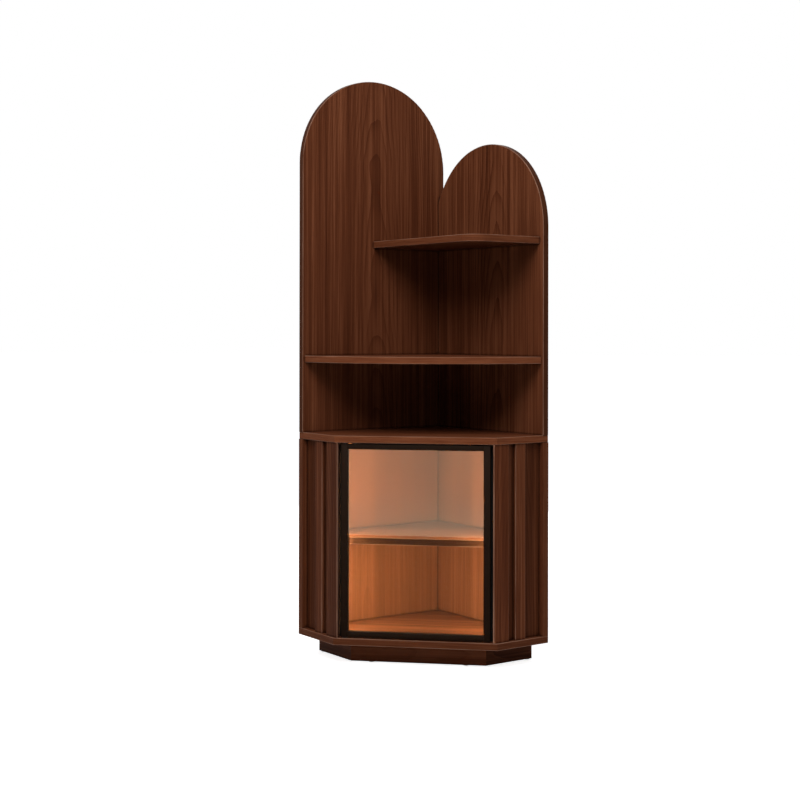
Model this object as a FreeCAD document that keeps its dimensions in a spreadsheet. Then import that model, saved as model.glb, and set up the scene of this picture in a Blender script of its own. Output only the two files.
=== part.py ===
import FreeCAD, Part
import Sketcher
import math
import os
import re

# Corner cabinet: a fluted base with one glazed door, an arched panel on each wall and two open shelves.
# The corner frame has u along the left wall and v along the right wall, both from the rear corner.
# The front frame has x along the door, from its middle, and q behind the plane of the boards' front edges.
# Lengths are in millimetres.

SIZES = {
    # Plan and levels of the whole cabinet
    "wall_length": 410.0,
    "return_depth": 148.0,
    "board": 16.0,
    "arris": 1.5,
    "plinth_height": 47.0,
    "cabinet_height": 518.0,
    "left_height": 1351.0,
    "right_height": 1196.0,
    "top_inset": 1.5,
    # Plinth, its blocks and its glides
    "plinth_side_setback": 57.0,
    "plinth_front_setback": 50.0,
    "block_side": 20.0,
    "block_height": 30.0,
    "block_screw_radius": 2.0,
    "block_screw_head_radius": 4.0,
    "block_screw_head_height": 2.5,
    "block_screw_length": 40.0,
    "glide_radius": 6.0,
    "glide_height": 2.0,
    "nail_radius": 1.0,
    "nail_length": 12.0,
    # Fluted sides
    "side_board": 12.0,
    "recess_depth": 13.5,
    "face_inset": 5.0,
    "post_width": 37.0,
    "post_front": 3.2,
    "rib_offset": 56.0,
    "rib_width": 29.0,
    # Shelves
    "inner_shelf_rise": 205.0,
    "inner_shelf_setback": 50.0,
    "shelf_clearance": 0.5,
    "pin_radius": 2.5,
    "pin_seat": 8.0,
    "pin_reach": 10.0,
    "mid_bay": 162.0,
    "mid_shelf_radius": 405.0,
    "upper_bay": 256.0,
    "upper_shelf_width": 212.0,
    "upper_shelf_end_gap": 12.0,
    "upper_shelf_corner": 40.0,
    # Panel screws, dowels and cam fittings
    "screw_radius": 3.0,
    "screw_length": 46.0,
    "screw_head_radius": 5.0,
    "screw_head_height": 3.0,
    "socket_radius": 2.3,
    "socket_depth": 2.0,
    "dowel_radius": 3.0,
    "dowel_length": 30.0,
    "dowel_seat": 12.0,
    "cam_radius": 7.5,
    "cam_depth": 12.5,
    "cam_rise": 34.0,
    "bolt_radius": 3.5,
    "bolt_seat": 11.0,
    # Door frame and glass
    "door_gap": 6.6,
    "door_clearance": 2.5,
    "door_recess": 4.0,
    "door_thickness": 18.0,
    "stile_width": 15.0,
    "rail_width": 12.0,
    "front_lip": 3.0,
    "glass_thickness": 4.0,
    "glass_bite": 5.0,
    "gasket_wall": 1.0,
    "finger_radius": 5.0,
    # Corner plates of the door and the small screws
    "plate_leg": 40.0,
    "plate_width": 9.0,
    "plate_thickness": 1.5,
    "small_screw_radius": 1.5,
    "small_screw_head_radius": 2.8,
    "small_screw_head_height": 1.2,
    "small_screw_length": 8.0,
    # Pivot hinges
    "pivot_inset": 8.0,
    "pivot_radius": 3.0,
    "pivot_fit": 0.05,
    "pivot_reach": 8.0,
    "pivot_plate_length": 40.0,
    "pivot_plate_width": 14.0,
    "pivot_plate_edge": 1.5,
    "pivot_plate_thickness": 2.0,
    "pivot_screw_offset": 12.0,
    "collar_radius": 5.0,
    "collar_gap": 0.3,
    "bush_radius": 5.0,
    "bush_length": 10.0,
    "bush_flange_radius": 7.0,
    "bush_flange": 1.0,
    # Magnetic catch
    "catch_inset": 68.4,
    "catch_length": 48.0,
    "catch_depth": 15.0,
    "catch_height": 12.0,
    "catch_flange": 2.0,
    "catch_wall": 3.0,
    "magnet_length": 28.0,
    "magnet_height": 5.0,
    "magnet_reach": 0.5,
    "magnet_drop": 8.0,
    "catch_gap": 0.5,
    "strike_length": 36.0,
    "strike_height": 10.0,
    "strike_thickness": 1.5,
    # Dark stop strips behind the door's stiles and top rail
    "stop_overlap": 4.5,
    "stop_clearance": 0.5,
    "stop_thickness": 2.5,
    "stop_seat": 8.0,
    # Light bars behind the door posts
    "bar_width": 10.0,
    "bar_height": 7.0,
    "bar_wall": 1.0,
    "bar_gap": 1.0,
    "bar_offset": 2.0,
    "strip_thickness": 1.0,
    "diffuser_thickness": 1.2,
    # Cable grommet
    "grommet_radius": 25.0,
    "grommet_wall": 3.0,
    "grommet_flange": 5.0,
    "grommet_flange_thickness": 1.5,
    "grommet_rise": 75.0,
    "grommet_offset": 50.0,
    # Overrun of every cutting tool
    "overrun": 1.0,
}

# Levels and distances that several pieces share
DERIVED = {
    "shelf_front": "(upper_shelf_width + upper_shelf_end - (2 - sqrt(2)) * upper_shelf_corner) / sqrt(2)",
    "upper_shelf_end": "wall_length - upper_shelf_end_gap",
    "rear_y": "shelf_front / 2",
    "front_y": "rear_y - (wall_length + return_depth) / sqrt(2)",
    "deck": "plinth_height + board",
    "ceiling": "cabinet_height - board",
    "mid_shelf_base": "cabinet_height + mid_bay",
    "upper_shelf_base": "mid_shelf_base + board + upper_bay",
    "inner_shelf_base": "deck + inner_shelf_rise",
    "arch_radius": "wall_length / 2",
    "arch_rise": "sqrt(arch_radius ^ 2 - (arch_radius - board) ^ 2)",
    "plinth_wall": "wall_length - plinth_side_setback",
    "plinth_sum": "wall_length + return_depth - sqrt(2) * plinth_front_setback",
    "plinth_return": "plinth_sum - plinth_wall",
    "mitre": "board * (sqrt(2) - 1)",
    "side_outer": "wall_length - recess_depth",
    "side_inner": "side_outer - side_board",
    "side_middle": "side_outer - side_board / 2",
    "post_rear": "return_depth - post_width",
    "post_edge": "wall_length - face_inset",
    "post_bend": "return_depth + face_inset",
    "post_turn": "post_front / sqrt(2)",
    "jamb_shift": "post_edge - post_bend - 2 * post_turn",
    "opening_half": "(post_edge - post_bend) / sqrt(2) - post_front",
    "door_half": "opening_half - door_gap",
    "door_bottom": "deck + door_clearance",
    "door_top": "ceiling - door_clearance",
    "door_rear": "door_recess + door_thickness",
    "sight_half": "door_half - stile_width",
    "sight_bottom": "door_bottom + rail_width",
    "sight_top": "door_top - rail_width",
    "groove_depth": "glass_bite + gasket_wall",
    "groove_width": "glass_thickness + 2 * gasket_wall",
    "groove_front": "door_recess + front_lip",
    "pivot_x": "pivot_inset - door_half",
    "pivot_q": "door_recess + pivot_inset",
    "shelf_end": "side_inner - shelf_clearance",
    "shelf_sum": "wall_length + return_depth - sqrt(2) * inner_shelf_setback",
    "catch_front": "door_rear + strike_thickness + catch_gap",
    "catch_offset": "door_half - catch_inset",
    "bar_start": "post_rear + bar_offset",
    "hinge_reach": "sqrt(pivot_inset ^ 2 + (door_rear - pivot_q) ^ 2)",
}

SIDES = ("left", "right")
PANEL_SCREW_SHARES = (0.15, 0.85)
CAM_SHARES = (0.3, 0.7)
PANEL_DOWEL_SHARES = (0.42, 0.58)
SHELF_SCREW_SHARES = (0.25, 0.8)
NARROW_SHELF_SHARES = (0.35, 0.8)
CORNER_SCREW_SHARES = (0.12, 0.5, 0.84)
SIDE_SCREW_SHARES = (0.2, 0.8)
POST_DOWEL_SHARES = (0.3, 0.7)
SHELF_PIN_SHARES = (0.3, 0.7)
GLIDE_SHARES = (-0.7, 0.7)
SIDE_FIXING_SHARE = 0.55
POST_FIXING_SHARE = 0.5
PLATE_SCREW_SHARES = (0.5, 0.85)
CATCH_SCREW_SHARES = (-0.43, 0.43)
STRIKE_SCREW_SHARES = (-0.35, 0.35)
PIVOT_SCREW_SHARES = (0.4, 0.72)

HALF_TURN = 180.0
QUARTER_TURN = 90.0
CORNER_TURN = 225.0
HEXAGON = 6
TOLERANCE = 1e-6

TURNS = {
    "z": FreeCAD.Rotation(),
    "-z": FreeCAD.Rotation(FreeCAD.Vector(1, 0, 0), HALF_TURN),
    "first": FreeCAD.Rotation(FreeCAD.Vector(0, 1, 0), QUARTER_TURN),
    "-first": FreeCAD.Rotation(FreeCAD.Vector(0, 1, 0), -QUARTER_TURN),
    "second": FreeCAD.Rotation(FreeCAD.Vector(1, 0, 0), -QUARTER_TURN),
    "-second": FreeCAD.Rotation(FreeCAD.Vector(1, 0, 0), QUARTER_TURN),
}

doc = FreeCAD.newDocument("corner_cabinet")
sheet = doc.addObject("Spreadsheet::Sheet", "Sizes")
nodes = []


def fill_sheet():
    """Writes every size into the sheet under its own name."""
    for row, (name, size) in enumerate(SIZES.items(), start=1):
        sheet.set(f"A{row}", str(size))
        sheet.setAlias(f"A{row}", name)
    doc.recompute()


def bound(text):
    """Turns a formula of size names into an expression on the sheet's cells."""
    def expand(match):
        word = match.group()
        if word in DERIVED:
            return f"({bound(DERIVED[word])})"
        return f"Sizes.{word}" if word in SIZES else word
    return re.sub(r"[a-z]\w*", expand, str(text))


def number(text):
    """Gives a formula's present value, for the first shape of a sketch."""
    def expand(match):
        word = match.group()
        if word in DERIVED:
            return f"({number(DERIVED[word])!r})"
        return repr(SIZES[word]) if word in SIZES else word
    return FreeCAD.Units.parseQuantity(re.sub(r"[a-z]\w*", expand, str(text))).Value


def bind(obj, **formulas):
    """Ties properties of an object to formulas."""
    for name, text in formulas.items():
        obj.setExpression(name, bound(text))


def put(obj, frame, first, second, level, direction="z"):
    """Places an object by its frame's two plan distances and its height."""
    if frame == "corner":
        across = f"(({second}) - ({first})) / sqrt(2)"
        depth = f"rear_y - (({first}) + ({second})) / sqrt(2)"
        turn = FreeCAD.Rotation(FreeCAD.Vector(0, 0, 1), CORNER_TURN).multiply(TURNS[direction])
    else:
        across = first
        depth = f"front_y + ({second})"
        turn = TURNS[direction]
    obj.Placement.Rotation = turn
    for axis, text in zip("xyz", (across, depth, level)):
        obj.setExpression(f".Placement.Base.{axis}", bound(text))
    return obj


def swap(side, first, second):
    """Gives the two plan distances of the left side, or the right side's mirror image of them."""
    return (first, second) if side == "left" else (second, first)


def turned(side, direction):
    """Mirrors a direction in plan for the right side."""
    if side == "left" or direction.endswith("z"):
        return direction
    names = {"first": "second", "second": "first"}
    return "-" + names[direction[1:]] if direction.startswith("-") else names[direction]


def behind_front(first, second):
    """Gives a front frame place as corner frame distances."""
    middle = "(wall_length + return_depth) / 2"
    return (f"{middle} - (({second}) + ({first})) / sqrt(2)",
            f"{middle} - (({second}) - ({first})) / sqrt(2)")


def box(name, frame, low, high):
    """Makes a block between two corners, each given as three formulas."""
    obj = doc.addObject("Part::Box", name)
    lengths = [f"({b}) - ({a})" for a, b in zip(low, high)]
    bind(obj, Length=lengths[0], Width=lengths[1], Height=lengths[2])
    return put(obj, frame, *low)


def side_box(name, side, low, high):
    """Makes a block of the left side, or its mirror image on the right."""
    return box(name, "corner", (*swap(side, *low[:2]), low[2]), (*swap(side, *high[:2]), high[2]))


def rod(name, frame, start, direction, radius, length):
    """Makes a round bar from a start point in one direction."""
    obj = doc.addObject("Part::Cylinder", name)
    bind(obj, Radius=radius, Height=length)
    return put(obj, frame, *start, direction)


def join(name, pieces):
    """Fuses touching shapes into one solid."""
    obj = doc.addObject("Part::MultiFuse", name)
    obj.Shapes = pieces
    obj.Refine = True
    return obj


def group(name, pieces):
    """Keeps several separate solids under one name."""
    obj = doc.addObject("Part::Compound", name)
    obj.Links = pieces
    return obj


def cut(name, base, tools):
    """Takes tools out of a base, together."""
    obj = doc.addObject("Part::Cut", name)
    obj.Base = base
    obj.Tool = tools[0] if len(tools) == 1 else group(f"{name}_tools", tools)
    return obj


def keep(obj, name):
    """Names an object as one of the cabinet's pieces."""
    obj.Label = name
    nodes.append(obj)
    return obj


def origin_plane(body, role):
    """Finds one of a body's own origin planes."""
    return next(item for item in body.Origin.OriginFeatures if item.Role == role)


def fix_point(sketch, geometry, end, **formulas):
    """Ties a sketch point's distances from the sketch's origin to formulas."""
    for kind, axis in (("DistanceX", -2), ("DistanceY", -1)):
        text = formulas.get(kind)
        if text == "0":
            sketch.addConstraint(Sketcher.Constraint("PointOnObject", geometry, end, axis))
        elif text is not None:
            rule = Sketcher.Constraint(kind, -1, 1, geometry, end, number(text))
            index = sketch.addConstraint(rule)
            sketch.setExpression(f"Constraints[{index}]", bound(text))


def draw_outline(sketch, points, arc=None):
    """Draws a closed outline. An arc is given as the point that it starts from and its centre."""
    places = [FreeCAD.Vector(number(x), number(y), 0) for x, y in points]
    for index, start in enumerate(places):
        end = places[(index + 1) % len(places)]
        line = Part.LineSegment(start, end)
        if arc and index == arc[0]:
            centre = FreeCAD.Vector(number(arc[1]), number(arc[2]), 0)
            circle = Part.Circle(centre, FreeCAD.Vector(0, 0, 1), (start - centre).Length)
            angles = [math.atan2(*reversed((point - centre)[:2])) for point in (start, end)]
            line = Part.ArcOfCircle(circle, *angles)
        sketch.addGeometry(line, False)
    for index, (x, y) in enumerate(points):
        sketch.addConstraint(Sketcher.Constraint("Coincident", index, 2, (index + 1) % len(points), 1))
        fix_point(sketch, index, 1, DistanceX=x, DistanceY=y)
    if arc:
        fix_point(sketch, arc[0], 3, DistanceY=arc[2])


def padded(name, role, points, thickness, arc=None):
    """Makes a body from one outline on an origin plane, padded towards the plane's inner side."""
    body = doc.addObject("PartDesign::Body", name)
    sketch = body.newObject("Sketcher::SketchObject", f"{name}_outline")
    sketch.AttachmentSupport = (origin_plane(body, role), [""])
    sketch.MapMode = "FlatFace"
    draw_outline(sketch, points, arc)
    pad = body.newObject("PartDesign::Pad", f"{name}_pad")
    pad.Profile = sketch
    pad.Reversed = role == "XZ_Plane"
    bind(pad, Length=thickness)
    doc.recompute()
    return body


def ease(body, chosen, radius="arris"):
    """Rounds the edges that a test on their bounding box chooses."""
    base = body.Tip
    edges = [f"Edge{index}" for index, edge in enumerate(base.Shape.Edges, start=1) if chosen(edge.BoundBox)]
    fillet = body.newObject("PartDesign::Fillet", f"{body.Name}_arris")
    fillet.Base = (base, edges)
    bind(fillet, Radius=radius)
    doc.recompute()
    return body


def flat_board(name, points, level, arc=None, thickness="board"):
    """Makes a horizontal board of the corner frame."""
    return put(padded(name, "XY_Plane", points, thickness, arc), "corner", "0", "0", level)


def front_edges(wall):
    """Chooses a flat board's level edges, apart from those along the walls."""
    def chosen(edge_box):
        level = edge_box.ZLength < TOLERANCE
        return level and edge_box.XMax > wall + TOLERANCE and edge_box.YMax > wall + TOLERANCE
    return chosen


def pentagon(wall, front_sum):
    """Gives a corner board's outline from its length along the walls and its front line."""
    depth = f"{front_sum} - ({wall})"
    return [("0", "0"), (wall, "0"), (wall, depth), (depth, wall), ("0", wall)]


def screw(name, frame, start, direction, kind):
    """Makes a screw's full outer shape, which its hole takes too."""
    shank = rod(f"{name}_shank", frame, start, direction, f"{kind}_radius", f"{kind}_length")
    head = rod(f"{name}_head", frame, start, direction, f"{kind}_head_radius", f"{kind}_head_height")
    return join(name, [shank, head])


def socketed(blank, frame, start, direction):
    """Cuts the hexagon socket into a panel screw's head."""
    socket = doc.addObject("Part::Prism", f"{blank.Name}_socket")
    socket.Polygon = HEXAGON
    bind(socket, Circumradius="socket_radius", Height="socket_depth")
    put(socket, frame, *start, direction)
    return cut(f"{blank.Name}_with_socket", blank, [socket])


def share(low, high, part):
    """Gives the place at a share of the way from one distance to another."""
    return f"({low}) + ({part}) * (({high}) - ({low}))"


holes = {}
fasteners = {}


def pierced(name, base):
    """Cuts a piece's own holes and names it."""
    return keep(cut(name, base, holes[name]), name)


def fasten(node, kind, frame, rows):
    """Makes fasteners from their starts, directions and the boards that they pass through."""
    made = fasteners.setdefault(node, [])
    for start, direction, boards in rows:
        name = f"{node}_{len(made) + 1}"
        if kind == "dowel":
            blank = rod(name, frame, start, direction, "dowel_radius", "dowel_length")
        else:
            blank = screw(name, frame, start, direction, kind)
        for board_name in boards:
            holes.setdefault(board_name, []).append(blank)
        made.append(socketed(blank, frame, start, direction) if kind == "screw" else blank)


def both_sides(start, direction, boards):
    """Gives a left side fastener and its mirror image on the right."""
    for side in SIDES:
        places = (*swap(side, *start[:2]), start[2])
        yield places, turned(side, direction), [name.format(side=side) for name in boards]


def post_middle():
    """Gives the place in plan of the left post's end fixings."""
    return "(side_inner + post_edge) / 2", share("post_rear", "return_depth", POST_FIXING_SHARE)


def base_screws():
    """Screws that come up through the bottom board into the panels and posts on it."""
    edge = "board / 2"
    for part in PANEL_SCREW_SHARES:
        start = (share("0", "wall_length", part), edge, "plinth_height")
        yield from both_sides(start, "z", ["bottom_board", "lower_back_{side}"])
    start = ("side_middle", share("board", "post_rear", SIDE_FIXING_SHARE), "plinth_height")
    yield from both_sides(start, "z", ["bottom_board", "side_panel_{side}"])
    yield from both_sides((*post_middle(), "plinth_height"), "z", ["bottom_board", "corner_post_{side}"])


def back_screws():
    """Screws that hold the lower back panels to the top board, to each other and to the side panels."""
    for part in PANEL_SCREW_SHARES:
        start = (share("0", "wall_length", part), "board / 2", "cabinet_height")
        yield from both_sides(start, "-z", ["top_board", "lower_back_{side}"])
        level = share("deck", "ceiling", part)
        yield ("board / 2", "0", level), "second", ["lower_back_left", "lower_back_right"]
    for part in SIDE_SCREW_SHARES:
        start = ("side_middle", "0", share("deck", "ceiling", part))
        yield from both_sides(start, "second", ["lower_back_{side}", "side_panel_{side}"])


def shelf_screws():
    """Screws that pass from the wall side through the arched panels into the shelves and each other."""
    for part in SHELF_SCREW_SHARES:
        start = (share("0", "wall_length", part), "0", "mid_shelf_base + board / 2")
        yield from both_sides(start, "second", ["upper_back_{side}", "mid_shelf"])
    level = "upper_shelf_base + board / 2"
    for part in NARROW_SHELF_SHARES:
        start = (share("board", "upper_shelf_width", part), "0", level)
        yield start, "second", ["upper_back_left", "upper_shelf"]
    for part in SHELF_SCREW_SHARES:
        start = ("0", share("0", "wall_length", part), level)
        yield start, "first", ["upper_back_right", "upper_shelf"]
    for part in CORNER_SCREW_SHARES:
        start = ("board / 2", "0", share("cabinet_height", "right_height - arch_radius", part))
        yield start, "second", ["upper_back_left", "upper_back_right"]


def dowel_rows():
    """Dowels between the top board, the panels above and below it, and the posts."""
    below = "ceiling - (dowel_length - dowel_seat)"
    start = ("side_middle", share("board", "post_rear", SIDE_FIXING_SHARE), below)
    yield from both_sides(start, "z", ["top_board", "side_panel_{side}"])
    yield from both_sides((*post_middle(), below), "z", ["top_board", "corner_post_{side}"])
    for part in PANEL_DOWEL_SHARES:
        start = (share("0", "wall_length", part), "board / 2", "cabinet_height - dowel_seat")
        yield from both_sides(start, "z", ["top_board", "upper_back_{side}"])
    for part in POST_DOWEL_SHARES:
        start = ("side_middle", "post_rear - dowel_length / 2", share("deck", "ceiling", part))
        yield from both_sides(start, "second", ["side_panel_{side}", "corner_post_{side}"])


def cam_fittings():
    """Cams in the wall side of the arched panels and the bolts that they draw down on the top board."""
    cams = []
    bolts = []
    for part in CAM_SHARES:
        for side in SIDES:
            index = len(cams) + 1
            along = share("0", "wall_length", part)
            foot = (*swap(side, along, "board / 2"), "cabinet_height - bolt_seat")
            bolt = rod(f"cam_bolt_{index}", "corner", foot, "z", "bolt_radius", "bolt_seat + cam_rise")
            face = (*swap(side, along, "0"), "cabinet_height + cam_rise")
            inwards = turned(side, "second")
            blank = rod(f"cam_blank_{index}", "corner", face, inwards, "cam_radius", "cam_depth")
            holes.setdefault("top_board", []).append(bolt)
            holes.setdefault(f"upper_back_{side}", []).extend([blank, bolt])
            cams.append(cut(f"cam_lock_{index}", blank, [bolt]))
            bolts.append(bolt)
    keep(group("cam_locks", cams), "cam_locks")
    keep(group("cam_bolts", bolts), "cam_bolts")


def shelf_pins():
    """Pins in the back and side panels, on which the inner shelf lies."""
    pins = []
    level = "inner_shelf_base - pin_radius"
    for side in SIDES:
        places = []
        for part in SHELF_PIN_SHARES:
            places.append((share("board", "side_inner", part), "board - pin_seat", "second", "lower_back"))
        middle = share("board", "post_rear", POST_FIXING_SHARE)
        places.append(("side_inner + pin_seat", middle, "-first", "side_panel"))
        for first, second, direction, carrier in places:
            start = (*swap(side, first, second), level)
            name = f"shelf_pin_{len(pins) + 1}"
            pin = rod(name, "corner", start, turned(side, direction), "pin_radius", "pin_seat + pin_reach")
            holes.setdefault(f"{carrier}_{side}", []).append(pin)
            pins.append(pin)
    keep(group("shelf_pins", pins), "shelf_pins")


def plinth():
    """Five boards set back under the bottom board, with mitred bends at the front."""
    tall = "plinth_height - glide_height"
    inner = "plinth_wall - board"
    bend = [("plinth_wall", "plinth_return"), (inner, "plinth_return - mitre")]
    outlines = {
        "plinth_left": [(inner, "0"), ("plinth_wall", "0"), *bend],
        "plinth_right": [("0", inner), *reversed([(v, u) for u, v in bend]), ("0", "plinth_wall")],
        "plinth_front": [bend[0], bend[0][::-1], bend[1][::-1], bend[1]],
        "plinth_rear_left": [("0", "0"), (inner, "0"), (inner, "board"), ("0", "board")],
        "plinth_rear_right": [("0", "board"), ("board", "board"), ("board", inner), ("0", inner)],
    }
    for name, points in outlines.items():
        body = flat_board(f"{name}_blank", points, "glide_height", thickness=tall)
        if name in holes:
            pierced(name, body)
        else:
            keep(body, name)


def glides():
    """Glides nailed under the plinth, one near each bend and end and one in the rear corner."""
    edge = "board / 2"
    half = "(plinth_wall - plinth_return) / sqrt(2)"
    places = [("corner", edge, edge, "plinth_rear_left")]
    for side in SIDES:
        places.append(("corner", *swap(side, "plinth_wall - board / 2", edge), f"plinth_{side}"))
    for part in GLIDE_SHARES:
        places.append(("front", f"({part}) * {half}", "plinth_front_setback + board / 2", "plinth_front"))
    made = []
    for index, (frame, first, second, carrier) in enumerate(places, start=1):
        disc = rod(f"glide_{index}_disc", frame, (first, second, "0"), "z", "glide_radius", "glide_height")
        length = "glide_height + nail_length"
        nail = rod(f"glide_{index}_nail", frame, (first, second, "0"), "z", "nail_radius", length)
        made.append(join(f"glide_{index}", [disc, nail]))
        holes.setdefault(carrier, []).append(made[-1])
    keep(group("glides", made), "glides")


def plinth_blocks():
    """Blocks inside the plinth, each with a screw up into the bottom board."""
    level = "plinth_height - block_height"
    reach = "plinth_wall - board"
    low = ("plinth_wall - board - block_side", "plinth_return / 2")
    high = (reach, "plinth_return / 2 + block_side")
    places = [("corner", ("board", "board"), ("board + block_side", "board + block_side"))]
    places += [("corner", swap(side, *low), swap(side, *high)) for side in SIDES]
    behind = "plinth_front_setback + board"
    places.append(("front", ("-block_side / 2", behind), ("block_side / 2", f"{behind} + block_side")))
    blocks = []
    for index, (frame, near, far) in enumerate(places, start=1):
        name = f"plinth_block_{index}"
        blank = box(f"{name}_blank", frame, (*near, level), (*far, "plinth_height"))
        middle = [f"(({a}) + ({b})) / 2" for a, b in zip(near, far)]
        fasten("plinth_screws", "block_screw", frame, [((*middle, level), "z", ["bottom_board", name])])
        blocks.append(cut(name, blank, holes[name]))
    keep(group("plinth_blocks", blocks), "plinth_blocks")


def base_boards():
    """The bottom board and the top board, each a square with its room corner cut off."""
    total = "wall_length + return_depth"
    levels = {
        "bottom_board": ("wall_length", "plinth_height"),
        "top_board": ("wall_length - top_inset", "ceiling"),
    }
    for name, (wall, level) in levels.items():
        body = flat_board(f"{name}_blank", pentagon(wall, total), level)
        pierced(name, ease(body, front_edges(0)))


def lower_backs():
    """The two wall panels of the base, butted in the rear corner."""
    low = {"left": ("0", "0", "deck"), "right": ("0", "board", "deck")}
    high = {"left": ("wall_length", "board", "ceiling"), "right": ("board", "wall_length", "ceiling")}
    for side in SIDES:
        pierced(f"lower_back_{side}", box(f"lower_back_{side}_blank", "corner", low[side], high[side]))


def upright_body(name, side, points, level):
    """Makes an upright piece from its left side plan, mirrored for the right side."""
    if side == "right":
        points = [(v, u) for u, v in reversed(points)]
    body = padded(name, "XY_Plane", points, "ceiling - deck")
    return put(body, "corner", "0", "0", level)


def fluted_sides():
    """Side panels with a rib on each, and the corner posts at the door."""
    rib_low = "return_depth - rib_offset - rib_width"
    rib_high = "return_depth - rib_offset"
    rib = [("side_outer", rib_low), ("post_edge", rib_low), ("post_edge", rib_high), ("side_outer", rib_high)]
    turn = ("post_edge - post_turn", "post_bend + post_turn")
    jamb = ("side_inner", "side_inner - jamb_shift")
    post = [("side_inner", "post_rear"), ("post_edge", "post_rear"), ("post_edge", "post_bend"), turn, jamb]
    reach = number("post_edge - post_turn")

    def outer(edge_box):
        return edge_box.ZLength > TOLERANCE and max(edge_box.XMax, edge_box.YMax) > reach - TOLERANCE

    for side in SIDES:
        low = ("side_inner", "board", "deck")
        high = ("side_outer", "post_rear", "ceiling")
        pierced(f"side_panel_{side}", side_box(f"side_panel_{side}_blank", side, low, high))
        keep(ease(upright_body(f"side_rib_{side}_body", side, rib, "deck"), outer), f"side_rib_{side}")
        body = ease(upright_body(f"corner_post_{side}_blank", side, post, "deck"), outer)
        pierced(f"corner_post_{side}", body)


def arched_panels():
    """The tall left panel and the lower right panel, whose round top ends at the left one."""
    foot = "cabinet_height"
    left_spring = "left_height - arch_radius"
    right_spring = "right_height - arch_radius"
    left = [("0", foot), ("wall_length", foot), ("wall_length", left_spring), ("0", left_spring)]
    right = [("board", foot), ("wall_length", foot), ("wall_length", right_spring),
             ("board", f"{right_spring} + arch_rise")]
    foot_level = number(foot) + TOLERANCE
    joint = number("board") + TOLERANCE
    body = padded("upper_back_left_blank", "XZ_Plane", left, "board", (2, "arch_radius", left_spring))
    ease(body, lambda edge: edge.YLength < TOLERANCE and edge.ZMax > foot_level)
    pierced("upper_back_left", put(body, "corner", "0", "0", "0"))
    body = padded("upper_back_right_blank", "YZ_Plane", right, "board", (2, "arch_radius", right_spring))
    ease(body, lambda edge: edge.XLength < TOLERANCE and edge.ZMax > foot_level and edge.YMax > joint)
    pierced("upper_back_right", put(body, "corner", "0", "0", "0"))


def open_shelves():
    """The quarter round middle shelf and the narrow upper shelf with one round corner."""
    reach = "sqrt(mid_shelf_radius ^ 2 - board ^ 2)"
    points = [("board", "board"), (reach, "board"), ("board", reach)]
    body = flat_board("mid_shelf_blank", points, "mid_shelf_base", (1, "0", "0"))
    pierced("mid_shelf", ease(body, front_edges(number("board"))))
    end = "upper_shelf_end"
    side = "upper_shelf_width"
    inset_side = "upper_shelf_width - upper_shelf_corner"
    inset_end = "upper_shelf_end - upper_shelf_corner"
    points = [("board", "board"), (side, "board"), (side, inset_end), (inset_side, end), ("board", end)]
    body = flat_board("upper_shelf_blank", points, "upper_shelf_base", (2, inset_side, inset_end))
    pierced("upper_shelf", ease(body, front_edges(number("board"))))


def inner_shelf():
    """The loose shelf behind the door, which lies on its pins."""
    near = "board + shelf_clearance"
    depth = "shelf_sum - shelf_end"
    end = "shelf_end"
    points = [(near, near), (end, near), (end, depth), (depth, end), (near, end)]
    body = flat_board("inner_shelf_body", points, "inner_shelf_base")
    keep(ease(body, front_edges(number(near))), "inner_shelf")


def stop_strips():
    """Dark strips on the posts and under the top board, which close the door's gaps from behind."""
    fronts = {"left": "pivot_q + hinge_reach + stop_clearance", "right": "door_rear + stop_clearance"}
    for side, front in fronts.items():
        sign = "-" if side == "left" else ""
        tip = f"{sign}(door_half - stop_overlap)"
        points = [
            behind_front(f"{sign}(opening_half)", front),
            behind_front(tip, front),
            behind_front(tip, f"{front} + stop_thickness"),
            swap(side, "side_inner", "side_inner - jamb_shift - stop_seat"),
            swap(side, "side_inner", "side_inner - jamb_shift"),
        ]
        body = padded(f"stop_strip_{side}_body", "XY_Plane", points, "ceiling - deck")
        keep(put(body, "corner", "0", "0", "deck"), f"stop_strip_{side}")
    spans = [("pivot_x + hinge_reach + stop_clearance", "catch_offset - catch_length / 2"),
             ("catch_offset + catch_length / 2", "door_half - stop_overlap")]
    drop = "ceiling - door_clearance - stop_overlap"
    rear = f"{fronts['right']} + stop_thickness"
    strips = []
    for index, (start, end) in enumerate(spans, start=1):
        low = (start, fronts["right"], drop)
        strips.append(box(f"stop_strip_top_{index}", "front", low, (end, rear, "ceiling")))
    keep(group("stop_strip_top", strips), "stop_strip_top")


def light_bars():
    """A channel, a light strip and a diffuser behind each corner post."""
    for side in SIDES:
        ends = ("deck", "ceiling - bar_gap")
        mouth = "side_inner - bar_height"
        inner_low = "bar_start + bar_wall"
        inner_high = "bar_start + bar_width - bar_wall"
        body = side_box(f"light_channel_{side}_blank", side, (mouth, "bar_start", ends[0]),
                        ("side_inner", "bar_start + bar_width", ends[1]))
        hollow = side_box(f"light_channel_{side}_hollow", side,
                          (f"{mouth} - overrun", inner_low, f"{ends[0]} - overrun"),
                          ("side_inner - bar_wall", inner_high, f"{ends[1]} + overrun"))
        keep(cut(f"light_channel_{side}", body, [hollow]), f"light_channel_{side}")
        strip = side_box(f"light_strip_{side}", side,
                         ("side_inner - bar_wall - strip_thickness", inner_low, ends[0]),
                         ("side_inner - bar_wall", inner_high, ends[1]))
        keep(strip, f"light_strip_{side}")
        diffuser = side_box(f"light_diffuser_{side}", side, (mouth, inner_low, ends[0]),
                            (f"{mouth} + diffuser_thickness", inner_high, ends[1]))
        keep(diffuser, f"light_diffuser_{side}")


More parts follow.
